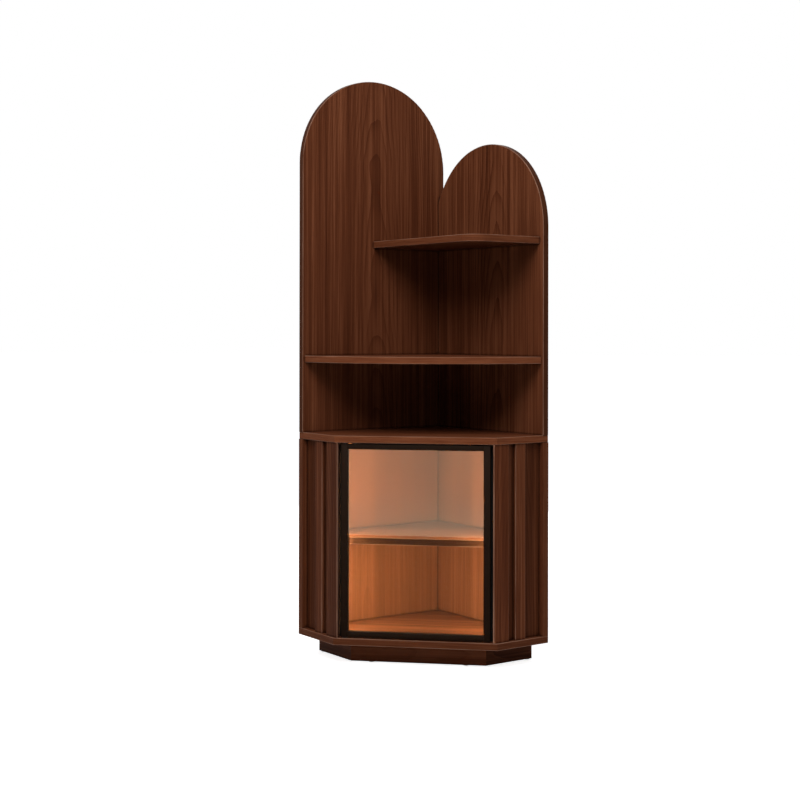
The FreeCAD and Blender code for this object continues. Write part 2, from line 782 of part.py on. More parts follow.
def cable_grommet():
    """A flanged ring in the left back panel, through which the lights' cord would leave."""
    place = ("side_inner - grommet_offset", "0", "deck + grommet_rise")
    sleeve = rod("grommet_sleeve", "corner", place, "second", "grommet_radius", "board")
    face = (place[0], "board", place[2])
    flange = rod("grommet_rim", "corner", face, "second", "grommet_radius + grommet_flange",
                 "grommet_flange_thickness")
    start = (place[0], "-overrun", place[2])
    bore = rod("grommet_bore", "corner", start, "second", "grommet_radius - grommet_wall",
               "board + grommet_flange_thickness + 2 * overrun")
    holes.setdefault("lower_back_left", []).append(sleeve)
    keep(cut("cable_grommet", join("grommet_blank", [sleeve, flange]), [bore]), "cable_grommet")


def pivots():
    """Pivot plates with their pins on the door's ends, and flanged bushes in the boards."""
    levels = {"bottom": ("deck", "door_bottom", "z"), "top": ("ceiling", "door_top", "-z")}
    for name, (board_face, door_face, inwards) in levels.items():
        sign = "" if inwards == "z" else "-"
        outwards = "-z" if inwards == "z" else "z"
        plan = behind_front("pivot_x", "pivot_q")
        sleeve = rod(f"bush_{name}_sleeve", "corner", (*plan, board_face), outwards,
                     "bush_radius", "bush_length")
        flange = rod(f"bush_{name}_flange", "corner", (*plan, board_face), inwards,
                     "bush_flange_radius", "bush_flange")
        blank = join(f"bush_{name}_blank", [sleeve, flange])
        start = f"{board_face} + ({sign}(bush_flange + overrun))"
        bore = rod(f"bush_{name}_bore", "corner", (*plan, start), outwards, "pivot_radius + pivot_fit",
                   "bush_flange + bush_length + 2 * overrun")
        holes.setdefault(f"{name}_board", []).append(blank)
        keep(cut(f"hinge_bush_{name}", blank, [bore]), f"hinge_bush_{name}")

        edge = "pivot_plate_edge - door_half"
        inner_face = f"{door_face} + ({sign}pivot_plate_thickness)"
        faces = (door_face, inner_face) if inwards == "z" else (inner_face, door_face)
        plate = box(f"pivot_{name}_plate", "front",
                    (edge, "pivot_q - pivot_plate_width / 2", faces[0]),
                    (f"{edge} + pivot_plate_length", "pivot_q + pivot_plate_width / 2", faces[1]))
        place = ("pivot_x", "pivot_q")
        pin = rod(f"pivot_{name}_pin", "front", (*place, inner_face), outwards, "pivot_radius",
                  "pivot_plate_thickness + door_clearance + pivot_reach")
        collar = rod(f"pivot_{name}_collar", "front", (*place, door_face), outwards, "collar_radius",
                     "door_clearance - bush_flange - collar_gap")
        carriers = ["door_stile_hinge", f"door_rail_{name}", f"hinge_pivot_{name}"]
        for carrier in carriers[:2]:
            holes.setdefault(carrier, []).append(plate)
        for part in PIVOT_SCREW_SHARES:
            start = (f"{edge} + ({part}) * pivot_plate_length", "door_recess + pivot_screw_offset", door_face)
            fasten("door_screws", "small_screw", "front", [(start, inwards, carriers[1:])])
        body = join(f"hinge_pivot_{name}_blank", [plate, pin, collar])
        pierced(f"hinge_pivot_{name}", body)


def corner_plates():
    """Flat L-shaped plates let into the back of the door frame, with two screws in each leg."""
    edge = "(stile_width - plate_width) / 2"
    edge_z = "(rail_width - plate_width) / 2"
    depth = ("door_rear - plate_thickness", "door_rear")
    across = {
        "hinge": [(f"{edge} - door_half", "1"), ("door_stile_hinge", "")],
        "pull": [(f"door_half - ({edge})", "-1"), ("door_stile_pull", "")],
    }
    upward = {"bottom": (f"door_bottom + {edge_z}", "1"), "top": (f"door_top - {edge_z}", "-1")}
    plates = []
    for stile, ((outer_x, sign_x), (stile_node, _)) in across.items():
        for rail, (outer_z, sign_z) in upward.items():
            ends = {
                "long_x": f"{outer_x} + {sign_x} * plate_leg",
                "wide_x": f"{outer_x} + {sign_x} * plate_width",
                "long_z": f"{outer_z} + {sign_z} * plate_leg",
                "wide_z": f"{outer_z} + {sign_z} * plate_width",
            }
            name = f"plate_{stile}_{rail}"
            legs = []
            for kind, end_x, end_z in (("level", "long_x", "wide_z"), ("upright", "wide_x", "long_z")):
                x_pair = (outer_x, ends[end_x]) if sign_x == "1" else (ends[end_x], outer_x)
                z_pair = (outer_z, ends[end_z]) if sign_z == "1" else (ends[end_z], outer_z)
                low = (x_pair[0], depth[0], z_pair[0])
                high = (x_pair[1], depth[1], z_pair[1])
                legs.append(box(f"{name}_{kind}", "front", low, high))
            blank = join(f"{name}_blank", legs)
            for carrier in (stile_node, f"door_rail_{rail}"):
                holes.setdefault(carrier, []).append(blank)
            line_x = f"{outer_x} + {sign_x} * plate_width / 2"
            line_z = f"{outer_z} + {sign_z} * plate_width / 2"
            for part in PLATE_SCREW_SHARES:
                along_x = f"{outer_x} + {sign_x} * ({part}) * plate_leg"
                along_z = f"{outer_z} + {sign_z} * ({part}) * plate_leg"
                rows = [((along_x, "door_rear", line_z), "-second", [f"door_rail_{rail}", name]),
                        ((line_x, "door_rear", along_z), "-second", [stile_node, name])]
                fasten("door_screws", "small_screw", "front", rows)
            plates.append(cut(name, blank, holes[name]))
    keep(group("door_corner_plates", plates), "door_corner_plates")


def magnetic_catch():
    """A magnet in a housing under the top board and its strike plate on the door's top rail."""
    level = "ceiling - magnet_drop"
    front = "catch_front + magnet_reach"
    rear = "catch_front + magnet_reach + catch_depth"
    half = "(magnet_length / 2 + catch_wall)"
    core = box("catch_core", "front", (f"catch_offset - {half}", front, "ceiling - catch_height"),
               (f"catch_offset + {half}", rear, "ceiling"))
    ears = box("catch_ears", "front", ("catch_offset - catch_length / 2", front, "ceiling - catch_flange"),
               ("catch_offset + catch_length / 2", rear, "ceiling"))
    magnet = box("catch_magnet", "front",
                 ("catch_offset - magnet_length / 2", "catch_front", f"{level} - magnet_height / 2"),
                 ("catch_offset + magnet_length / 2", f"{rear} - catch_flange",
                  f"{level} + magnet_height / 2"))
    for part in CATCH_SCREW_SHARES:
        first = f"catch_offset + ({part}) * catch_length"
        plan = behind_front(first, f"{front} + catch_depth / 2")
        rows = [((*plan, "ceiling - catch_flange"), "z", ["top_board", "catch_housing"])]
        fasten("catch_screws", "small_screw", "corner", rows)
    holes["catch_housing"].append(magnet)
    pierced("catch_housing", join("catch_housing_blank", [core, ears]))
    keep(magnet, "catch_magnet")
    strike = box("strike_plate_blank", "front",
                 ("catch_offset - strike_length / 2", "door_rear", f"{level} - strike_height / 2"),
                 ("catch_offset + strike_length / 2", "door_rear + strike_thickness",
                  f"{level} + strike_height / 2"))
    for part in STRIKE_SCREW_SHARES:
        start = (f"catch_offset + ({part}) * strike_length", "door_rear + strike_thickness", level)
        rows = [(start, "-second", ["door_rail_top", "strike_plate"])]
        fasten("door_screws", "small_screw", "front", rows)
    pierced("strike_plate", strike)


def door():
    """The narrow door frame, its glass and the gasket that holds the glass in the frame's groove."""
    seat = "sight_half + groove_depth"
    groove_low = (f"-({seat})", "groove_front", "sight_bottom - groove_depth")
    groove_high = (seat, "groove_front + groove_width", "sight_top + groove_depth")
    groove = box("glazing_groove", "front", groove_low, groove_high)
    edge = "sight_half + glass_bite"
    glass = box("door_glass", "front",
                (f"-({edge})", "groove_front + gasket_wall", "sight_bottom - glass_bite"),
                (edge, "groove_front + gasket_wall + glass_thickness", "sight_top + glass_bite"))
    keep(glass, "door_glass")
    sight = box("sight_opening", "front", ("-(sight_half)", "groove_front - overrun", "sight_bottom"),
                ("sight_half", "groove_front + groove_width + overrun", "sight_top"))
    keep(cut("glass_gasket", groove, [sight, glass]), "glass_gasket")
    start = ("door_half", "(door_recess + door_rear) / 2", "door_bottom - overrun")
    cove = rod("finger_cove", "front", start, "z", "finger_radius", "door_top - door_bottom + 2 * overrun")
    holes["door_stile_pull"].append(cove)
    members = {
        "door_stile_hinge": (("-(door_half)", "door_bottom"), ("-(sight_half)", "door_top")),
        "door_stile_pull": (("sight_half", "door_bottom"), ("door_half", "door_top")),
        "door_rail_bottom": (("-(sight_half)", "door_bottom"), ("sight_half", "sight_bottom")),
        "door_rail_top": (("-(sight_half)", "sight_top"), ("sight_half", "door_top")),
    }
    for name, ((low_x, low_z), (high_x, high_z)) in members.items():
        bar = box(f"{name}_blank", "front", (low_x, "door_recess", low_z), (high_x, "door_rear", high_z))
        holes[name].append(groove)
        pierced(name, bar)


def check_and_write():
    """Checks every object, then writes one file for each piece."""
    doc.recompute()
    failed = [obj.Name for obj in doc.Objects if {"Invalid", "Error"} & set(obj.State)]
    if failed:
        raise RuntimeError(f"failed objects: {failed}")
    for node in nodes:
        if node.Shape.isNull() or not node.Shape.isValid() or not node.Shape.Solids:
            raise RuntimeError(f"bad shape: {node.Label}")
    os.makedirs("parts", exist_ok=True)
    for node in nodes:
        node.Shape.exportStep(f"parts/{node.Label}.step")
        print(node.Label, len(node.Shape.Solids), round(node.Shape.Volume))


def main():
    """Builds the fasteners first, because the boards take their holes from them."""
    fill_sheet()
    for rows in (base_screws(), back_screws(), shelf_screws()):
        fasten("panel_screws", "screw", "corner", rows)
    fasten("dowels", "dowel", "corner", dowel_rows())
    cam_fittings()
    shelf_pins()
    glides()
    plinth_blocks()
    cable_grommet()
    pivots()
    corner_plates()
    magnetic_catch()
    door()
    plinth()
    base_boards()
    lower_backs()
    fluted_sides()
    arched_panels()
    open_shelves()
    inner_shelf()
    stop_strips()
    light_bars()
    for node, pieces in fasteners.items():
        keep(group(node, pieces), node)
    check_and_write()


main()
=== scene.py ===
import math
from collections import namedtuple
from functools import partial

import bmesh
import bpy
from bpy.props import FloatProperty, FloatVectorProperty, IntProperty, PointerProperty
from mathutils import Euler, Matrix, Vector


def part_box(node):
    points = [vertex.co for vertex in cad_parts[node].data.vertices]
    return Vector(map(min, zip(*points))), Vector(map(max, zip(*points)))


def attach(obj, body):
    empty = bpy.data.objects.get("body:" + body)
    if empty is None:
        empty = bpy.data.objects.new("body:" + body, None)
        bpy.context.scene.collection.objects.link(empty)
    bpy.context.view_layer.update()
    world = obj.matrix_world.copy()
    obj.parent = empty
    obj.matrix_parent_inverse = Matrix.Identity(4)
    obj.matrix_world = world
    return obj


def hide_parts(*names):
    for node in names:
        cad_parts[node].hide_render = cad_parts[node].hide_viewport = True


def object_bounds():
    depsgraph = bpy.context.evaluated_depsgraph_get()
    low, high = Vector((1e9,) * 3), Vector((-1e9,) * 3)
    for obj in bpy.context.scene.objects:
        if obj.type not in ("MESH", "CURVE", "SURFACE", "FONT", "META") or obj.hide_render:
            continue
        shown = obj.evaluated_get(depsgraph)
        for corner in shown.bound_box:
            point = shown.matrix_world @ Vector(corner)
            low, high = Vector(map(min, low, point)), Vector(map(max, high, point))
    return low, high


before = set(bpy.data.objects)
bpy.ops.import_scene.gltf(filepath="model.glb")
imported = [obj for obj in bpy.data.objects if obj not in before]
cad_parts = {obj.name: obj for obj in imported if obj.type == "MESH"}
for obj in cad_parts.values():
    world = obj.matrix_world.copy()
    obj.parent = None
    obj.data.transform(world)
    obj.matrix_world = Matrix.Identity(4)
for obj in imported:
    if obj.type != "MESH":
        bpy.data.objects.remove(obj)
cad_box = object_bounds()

bl_info = {
    "name": "Corner Cabinet Finishes",
    "version": (1, 0, 0),
    "blender": (4, 5, 0),
    "location": "View3D > Sidebar > Cabinet",
    "description": "Finishes the corner cabinet's boards, door, lights and fittings, and sets its studio",
    "category": "Object",
}

# Directions of the cabinet. Each wall direction runs from the rear corner outwards.
UP = Vector((0, 0, 1))
ALONG_DOOR = Vector((1, 0, 0))
INTO_CORNER = Vector((0, 1, 0))
LEFT_WALL = Vector((-1, -1, 0)).normalized()
RIGHT_WALL = Vector((1, -1, 0)).normalized()

FULL_TURN = 2 * math.pi

# Distance in metres within which points are one, the angle from which an edge is sharp, and the angle within
# which faces are one flat face
MERGE = 1e-6
SMOOTH_ANGLE = math.radians(35)
FLAT_ANGLE = math.radians(0.5)

# A board's grain runs along one direction, and its faces look through another. The figure's heart lies deep
# behind the face, shifted across it. The rim is the shade of the edge bands, or 0 where the edges aren't
# banded. Then come the shade of the whole board, which carries painted shade and painted light (darker
# recessed side panels, left post and plinth sides, a lighter right post and bottom board), and the strength
# of its figure.
Grain = namedtuple("Grain", "along through depth shift rim shade figure", defaults=(1.0, 1.0))

GRAINS = {
    "upper_back_left": Grain(UP, RIGHT_WALL, 0.075, 0.0, 0.5),
    "upper_back_right": Grain(UP, LEFT_WALL, 0.09, 0.03, 0.5, 1.0, 1.25),
    "lower_back_left": Grain(UP, RIGHT_WALL, 0.06, -0.02, 0.9, 1.0, 0.5),
    "lower_back_right": Grain(UP, LEFT_WALL, 0.08, 0.05, 0.9, 1.0, 0.5),
    # The recessed side panels and the left post get painted shade, the right post painted light
    "side_panel_left": Grain(UP, LEFT_WALL, 0.15, 0.08, 0.0, 0.75),
    "side_panel_right": Grain(UP, RIGHT_WALL, 0.15, -0.08, 0.0, 0.75),
    "side_rib_left": Grain(UP, LEFT_WALL, 0.12, 0.1, 0.0),
    "side_rib_right": Grain(UP, RIGHT_WALL, 0.12, -0.1, 0.0),
    "corner_post_left": Grain(UP, LEFT_WALL, 0.14, -0.1, 0.0, 0.76),
    "corner_post_right": Grain(UP, RIGHT_WALL, 0.14, 0.1, 0.0, 1.15),
    "bottom_board": Grain(ALONG_DOOR, UP, 0.1, 0.0, 0.66, 1.2),
    "top_board": Grain(ALONG_DOOR, UP, 0.09, 0.03, 1.3),
    "mid_shelf": Grain(ALONG_DOOR, UP, 0.08, -0.02, 1.3),
    "inner_shelf": Grain(ALONG_DOOR, UP, 0.1, 0.04, 0.5),
    "upper_shelf": Grain(RIGHT_WALL, UP, 0.08, 0.0, 1.05),
    "plinth_front": Grain(ALONG_DOOR, INTO_CORNER, 0.12, 0.0, 0.0, 1.0, 0.6),
    # The plinth's sides get painted shade against its front
    "plinth_left": Grain(RIGHT_WALL, LEFT_WALL, 0.12, 0.0, 0.0, 0.7),
    "plinth_right": Grain(LEFT_WALL, RIGHT_WALL, 0.12, 0.0, 0.0, 0.7),
    "plinth_rear_left": Grain(LEFT_WALL, RIGHT_WALL, 0.12, 0.0, 0.0, 0.7),
    "plinth_rear_right": Grain(RIGHT_WALL, LEFT_WALL, 0.12, 0.0, 0.0, 0.7),
}

# Step in metres from one board's place in the noises to the next one's
SEED_STEP = Vector((1.7, 0.9, 2.3))

# Each noise of the veneer has its grains per metre across the face, through it and along it, the detail in
# it, and the weight that it is added with
Noise = namedtuple("Noise", "grains detail weight", defaults=(2.0, 1.0))

FIGURE = {
    "stray": Noise((3.2, 3.2, 1.1)),
    "swell": Noise((2.0, 2.0, 3.5)),
    "flutter": Noise((34, 34, 3.0), 3.0, 0.7),
    "presence": Noise((11, 11, 0.9)),
    "leaf": Noise((30, 30, 0.45), 1.5, 0.5),
    "cloud": Noise((3.5, 3.5, 1.6), 2.0, 0.5),
    "stripe": Noise((80, 80, 0.8), 2.0, 0.5),
    "fibre": Noise((620, 620, 7.0), 3.0, 0.6),
    "streak": Noise((170, 170, 2.2), 2.0, 0.9),
    "pore": Noise((1500, 1500, 42)),
    "band": Noise((14, 420, 14), 3.0, 0.8),
    # Patches of the painted highlight on the arrises
    "rub": Noise((25, 25, 9), 3.0, 1.2),
}

# How narrow the dark part of a growth ring is, how much it darkens a face, and its depth against a pore's
RING_SHARPNESS = 3.5
RING_SHADE = 0.4
RING_RELIEF = 0.3

# Mean shades of faces and edge bands, from 0 for deep to 1 for pale, and how much a pore darkens a face
FACE_SHADE = 0.56
BAND_SHADE = 0.62
PORE_SHADE = 0.35

# Share of the veneer's relief that shows, how much smoother its fibres are, and the samples of the ambient
# occlusion that finds where boards meet, for the shade painted into their corners
VENEER_RELIEF = 0.5
FIBRE_GLOSS = 0.25
PAINTED_SHADE_SAMPLES = 12

# Values between which a part of the veneer fades in
RING_LIMITS = (-0.2, 0.25)
PORE_LIMITS = (0.1, 0.2)
FACE_LIMITS = (0.35, 0.9)
# Facings between which the painted arris highlight fades in and out
ARRIS_START = (0.1, 0.3)
ARRIS_END = (0.9, 0.99)
# Occlusion between which the painted corner shade fades out
PAINTED_SHADE_LIMITS = (0.5, 0.85)

# Each plain finish has the setting that holds its colour, its roughness, its grains per metre along the
# three axes, the depth of its relief in metres, how far its colour varies, its metallic share and its gloss
Finish = namedtuple("Finish", "colour roughness grains relief uneven metallic gloss", defaults=(0.0, 0.5))

FINISHES = {
    "plated_zinc": Finish("zinc", 0.34, (900, 900, 900), 0.00003, 0.2, 1.0),
    "blackened_steel": Finish("black_steel", 0.42, (900, 900, 900), 0.00003, 0.25, 1.0),
    "magnet": Finish("magnet", 0.4, (900, 900, 900), 0.00003, 0.2, 1.0),
    "brushed_aluminium": Finish("aluminium", 0.3, (1600, 1600, 12), 0.00003, 0.1, 1.0),
    "lacquered_black": Finish("frame_black", 0.45, (700, 700, 700), 0.00003, 0.15, 0.0, 0.05),
    "moulded_black": Finish("black_plastic", 0.55, (2500, 2500, 2500), 0.00005, 0.2, 0.0, 0.3),
    "moulded_nylon": Finish("nylon", 0.5, (1500, 1500, 1500), 0.00002, 0.04),
    "soft_rubber": Finish("rubber", 0.7, (1200, 1200, 1200), 0.00005, 0.12, 0.0, 0.1),
    "flecked_beech": Finish("beech", 0.6, (500, 500, 45), 0.0001, 0.25),
    "light_tape": Finish("tape", 0.6, (900, 900, 900), 0.00002, 0.05),
    "light_chip": Finish("chip", 0.35, (1500, 1500, 1500), 0.00002, 0.1),
}

# What all plain finishes share: the grains per metre of their patches, the detail in their grains, and the
# shares of patches and grains in the colour, and of grains in the roughness and the relief
PATCHES = (40, 40, 40)
FINE_DETAIL = 3.0
PATCH_SHARE = 0.5
GRAIN_SHARE = 0.7
ROUGH_SHARE = 0.2
RELIEF_SHARE = 0.6

# Refractive index of the glass, and the grains per metre, detail, limits and shade of its wiping marks
GLASS_INDEX = 1.6
WIPING = (9, 60, 14)
WIPING_DETAIL = 5.0
WIPING_LIMITS = (-0.1, 0.35)
WIPING_SHADE = 0.97

# Grains per metre and roughness of the diffusers' frost
FROST = (1200, 1200, 300)
FROST_ROUGHNESS = 0.5

# Shortest edges in metres that are rounded on the door frame, on steel plates and on the catch
FRAME_LEAST = 0.01
PLATE_LEAST = 0.004
CATCH_LEAST = 0.0025

# Share of a glide's radius that its shank takes, the rounding of a light chip against its height, the steps
# across a lens, and the decimals by which lengths in metres are told apart
SHANK_SHARE = 1 / 6
CHIP_ROUNDING = 1 / 4
LENS_STEPS = 12
DECIMALS = 4

# Roughness of the stage, height of the dark card above the floor, and white
MATT = 0.9
CARD_LIFT = 0.001
WHITE = (1.0, 1.0, 1.0)

# Kinds of settings
Colour = partial(FloatVectorProperty, subtype="COLOR")
Place = partial(FloatVectorProperty, subtype="TRANSLATION", unit="LENGTH")
Length = partial(FloatProperty, unit="LENGTH")
Power = partial(FloatProperty, unit="POWER")
Angle = partial(FloatProperty, subtype="ANGLE")
Share = partial(FloatProperty, subtype="FACTOR")


class CabinetVeneer(bpy.types.PropertyGroup):
    """Colours and sizes of the walnut veneer."""
    deep: Colour(name="Deep", description="Colour of the darkest grain", default=(0.042, 0.0105, 0.0042))
    body: Colour(name="Body", description="Colour of most of the veneer", default=(0.1, 0.0285, 0.0115))
    pale: Colour(name="Pale", description="Colour of the palest grain", default=(0.2, 0.067, 0.03))
    ring_spacing: Length(name="Ring spacing", description="Distance between two growth rings",
                         default=0.0055)
    lean: FloatProperty(name="Lean", description="Slope of the heart against the board", default=0.045)
    wander: Length(name="Wander", description="How far a ring strays from its circle", default=0.03)
    swell: Length(name="Swell", description="How far the heart strays in depth", default=0.022)
    relief: Length(name="Relief", description="Depth of the pores", default=0.0002)
    roughness: FloatProperty(name="Roughness", description="Roughness of the lacquer", default=0.46)
    gloss: FloatProperty(name="Gloss", description="Strength of the lacquer's reflections", default=0.02)
    # Painted highlight on the rounded arrises: its colour, and the share in which it is laid on
    arris_highlight_colour: Colour(name="Arris highlight", description="Colour of the rounded arrises", default=(0.34, 0.19, 0.13))
    arris_highlight_share: Share(name="Arris highlight share", description="How much the arrises are paler", default=0.45)
    # Painted shade: how far from a corner ambient occlusion darkens the colour, and the darkest share there
    painted_shade_reach: Length(name="Crease reach", description="How far from a corner the lacquer darkens",
                         default=0.009)
    corner_painted_shade: Share(name="Crease shade", description="Shade of the lacquer in a corner", default=0.4)


class CabinetTrim(bpy.types.PropertyGroup):
    """Colours of everything that isn't veneer."""
    frame_black: Colour(name="Door frame", description="Colour of the door frame",
                        default=(0.015, 0.0072, 0.0038))
    rubber: Colour(name="Gasket", description="Colour of the gasket", default=(0.01, 0.01, 0.01))
    black_plastic: Colour(name="Black plastic", description="Colour of grommet, catch and bushes",
                          default=(0.02, 0.019, 0.018))
    nylon: Colour(name="Nylon", description="Colour of the glides", default=(0.72, 0.72, 0.69))
    zinc: Colour(name="Zinc", description="Colour of screws, plates and cams", default=(0.58, 0.58, 0.6))
    black_steel: Colour(name="Black steel", description="Colour of the pivot plates",
                        default=(0.03, 0.028, 0.027))
    magnet: Colour(name="Magnet", description="Colour of the magnet", default=(0.16, 0.16, 0.17))
    aluminium: Colour(name="Aluminium", description="Colour of the light channels",
                      default=(0.75, 0.76, 0.78))
    beech: Colour(name="Beech", description="Colour of dowels and blocks", default=(0.55, 0.34, 0.19))
    glass: Colour(name="Glass", description="Colour of the door glass", default=(0.93, 0.92, 0.9))
    glass_gleam: Colour(name="Glass gleam", description="Colour of the glass's reflections",
                        default=(1.0, 0.97, 0.72))
    opal: Colour(name="Opal", description="Colour of the unlit diffusers", default=(0.9, 0.86, 0.78))
    tape: Colour(name="Tape", description="Colour of the light chips' tape", default=(0.82, 0.82, 0.8))
    chip: Colour(name="Chip", description="Colour of the light chips", default=(0.85, 0.55, 0.06))


class CabinetRounding(bpy.types.PropertyGroup):
    """Small radii of the door frame and the fittings."""
    frame_edge: Length(name="Frame edge", description="Radius of the door frame's edges", default=0.0007)
    plate_edge: Length(name="Plate edge", description="Radius of the steel plates' edges", default=0.0003)
    housing_edge: Length(name="Housing edge", description="Radius of the moulded edges", default=0.0006)
    segments: IntProperty(name="Segments", description="Steps across each rounded edge", default=2)
    steps: IntProperty(name="Steps", description="Steps round each turned piece", default=48)
    slot_width: Length(name="Slot width", description="Width of a cam's cross slot", default=0.0018)
    slot_depth: Length(name="Slot depth", description="Depth of a cam's cross slot", default=0.003)
    slot_share: Share(name="Slot length", description="Share of a cam's radius that its slot takes",
                      default=0.72)


class CabinetGlow(bpy.types.PropertyGroup):
    """The two light bars."""
    colour: Colour(name="Colour", description="Colour of the light", default=(1.0, 0.9, 0.54))
    strength: FloatProperty(name="Strength", description="Brightness of the diffusers", default=400.0)
    lens_rise: Length(name="Lens rise", description="How far a diffuser bulges", default=0.0009)
    chip_pitch: Length(name="Chip pitch", description="Distance from one light chip to the next",
                       default=0.0125)
    chip_side: Length(name="Chip side", description="Side of a light chip", default=0.003)
    chip_height: Length(name="Chip height", description="Height of a light chip", default=0.0007)


class CabinetStudio(bpy.types.PropertyGroup):
    """Camera, lamps and backdrop."""
    camera_place: Place(name="Camera place", description="Where the camera stands",
                        default=(0.5074, -3.4393, 0.7573))
    camera_heading: Angle(name="Heading", description="Turn of the camera about the vertical", default=0.165)
    camera_roll: Angle(name="Roll", description="Turn of the camera about its own axis", default=0.0016)
    lens: FloatProperty(name="Lens", description="Focal length in millimetres", default=66.44)
    shift: FloatProperty(name="Shift", description="Vertical shift of the frame", default=-0.0883)
    key_power: Power(name="Key", description="Power of the key lamp", default=54.0)
    key_size: Length(name="Key size", description="Side of the key lamp", default=1.4)
    key_place: Place(name="Key place", description="Where the key lamp hangs", default=(-0.1, -1.8, 2.45))
    key_target: Place(name="Key target", description="What the key lamp looks at", default=(0.0, 0.0, 0.9))
    fill_power: Power(name="Fill", description="Power of the fill lamp", default=4.0)
    fill_offset: Place(name="Fill offset", description="Way from the front to the fill lamp",
                       default=(2.0, -2.4, 0.6))
    rear_power: Power(name="Rear", description="Power of the lamp behind", default=22.0)
    rear_offset: Place(name="Rear offset", description="Way from the front to the rear lamp",
                       default=(0.0, 2.8, 0.4))
    soft_size: Length(name="Soft size", description="Side of the fill and rear lamps", default=2.0)
    sky: FloatProperty(name="Sky", description="Strength of the even light from all sides", default=0.15)
    floor_colour: Colour(name="Floor", description="Colour of the floor", default=(0.9, 0.9, 0.9))
    floor_lift: FloatProperty(name="Floor lift", description="Brightness that the floor adds to itself",
                              default=0.88)
    floor_side: Length(name="Floor side", description="Side of the floor", default=80.0)
    card_reach: Length(name="Card reach", description="How far the dark card lies out from the door",
                       default=2.07)
    card_side: Length(name="Card side", description="Width of the dark card", default=2.6)
    card_colour: Colour(name="Card", description="Colour of the dark card", default=(0.13, 0.13, 0.13))


class Graph:
    """Adds linked nodes to one node tree."""

    def __init__(self, tree):
        self.tree = tree

    def add(self, kind, inputs=None, **settings):
        """Adds a node. Each input is a value or the socket that feeds it."""
        node = self.tree.nodes.new(f"ShaderNode{kind}")
        for name, value in settings.items():
            setattr(node, name, value)
        for name, value in (inputs or {}).items():
            self.feed(node.inputs[name], value)
        return node

    def feed(self, socket, value):
        """Links a socket or sets its value."""
        if isinstance(value, bpy.types.NodeSocket):
            self.tree.links.new(value, socket)
        else:
            socket.default_value = value

    def reckon(self, operation, *values, clamp=False):
        """Adds one step of arithmetic."""
        node = self.add("Math", operation=operation, use_clamp=clamp)
        for socket, value in zip(node.inputs, values):
            self.feed(socket, value)
        return node.outputs["Value"]

    def noise(self, place, stretch, detail=2.0):
        """Adds noise whose grains are one over the stretch long, about nought."""
        scaled = self.add("VectorMath", {0: place, 1: stretch}, operation="MULTIPLY")
        node = self.add("TexNoise", {"Vector": scaled.outputs["Vector"], "Scale": 1.0, "Detail": detail})
        return self.reckon("SUBTRACT", node.outputs["Fac"], 0.5)

    def blend(self, share, first, second, kind="MIX"):
        """Mixes two colours."""
        node = self.add("Mix", data_type="RGBA", blend_type=kind)
        for socket, value in zip((node.inputs[0], node.inputs[6], node.inputs[7]), (share, first, second)):
            self.feed(socket, value)
        return node.outputs[2]

    def ramp(self, share, *stops):
        """Adds a colour ramp with evenly spaced stops."""
        node = self.add("ValToRGB", {"Fac": share})
        elements = node.color_ramp.elements
        while len(elements) < len(stops):
            elements.new(0.5)
        for index, colour in enumerate(stops):
            elements[index].position = index / (len(stops) - 1)
            elements[index].color = (*colour, 1.0)
        return node.outputs["Color"]

    def widen(self, share, low, high):
        """Stretches the values between two limits to run from nought to one."""
        node = self.add("MapRange", {"Value": share, "From Min": low, "From Max": high},
                        interpolation_type="SMOOTHSTEP")
        return node.outputs["Result"]


def start_material(name):
    """Makes an empty material with its shader."""
    material = bpy.data.materials.new(name)
    material.use_nodes = True
    material.node_tree.nodes.clear()
    graph = Graph(material.node_tree)
    shader = graph.add("BsdfPrincipled")
    output = graph.add("OutputMaterial")
    graph.feed(output.inputs["Surface"], shader.outputs["BSDF"])
    return material, graph, shader


def set_sockets(shader, **values):
    """Sets constants on a shader's own sockets."""
    for name, value in values.items():
        socket = shader.inputs[name.replace("_", " ")]
        socket.default_value = (*value, 1.0) if socket.type == "RGBA" else value


def growth_rings(graph, veneer, noise, parts, depth):
    """Draws rings round a heart that leans against the board, so that their cut makes long arches."""
    stray = graph.reckon("MULTIPLY", noise("stray"), veneer.wander)
    across = graph.reckon("ADD", parts["X"], stray)
    swell = graph.reckon("MULTIPLY_ADD", noise("swell"), veneer.swell, depth)
    leaning = graph.reckon("MULTIPLY_ADD", parts["Z"], veneer.lean, swell)
    behind = graph.reckon("ADD", leaning, parts["Y"])
    square = graph.reckon("MULTIPLY", behind, behind)
    radius = graph.reckon("SQRT", graph.reckon("MULTIPLY_ADD", across, across, square))
    flutter = graph.reckon("MULTIPLY", noise("flutter"), FIGURE["flutter"].weight)
    years = graph.reckon("MULTIPLY_ADD", radius, 1 / veneer.ring_spacing, flutter)
    line = graph.reckon("POWER", graph.reckon("FRACT", years), RING_SHARPNESS)
    return graph.reckon("MULTIPLY", line, graph.widen(noise("presence"), *RING_LIMITS))


def face_colour(graph, veneer, noise, rings, fibre, pores, strength):
    """Colours a face by its leaves, cloudy patches, stripes, fibres, streaks, rings and pores."""
    shade = graph.reckon("MULTIPLY", noise("leaf"), FIGURE["leaf"].weight)
    layers = {"cloud": noise("cloud"), "stripe": noise("stripe"), "fibre": fibre, "streak": noise("streak")}
    for name, layer in layers.items():
        shade = graph.reckon("MULTIPLY_ADD", layer, FIGURE[name].weight, shade)
    shade = graph.reckon("MULTIPLY_ADD", rings, -RING_SHADE, shade)
    shade = graph.reckon("MULTIPLY_ADD", shade, strength, FACE_SHADE)
    face = graph.ramp(shade, veneer.deep, veneer.body, veneer.pale)
    return graph.blend(graph.reckon("MULTIPLY", pores, PORE_SHADE), face, (*veneer.deep, 1.0))


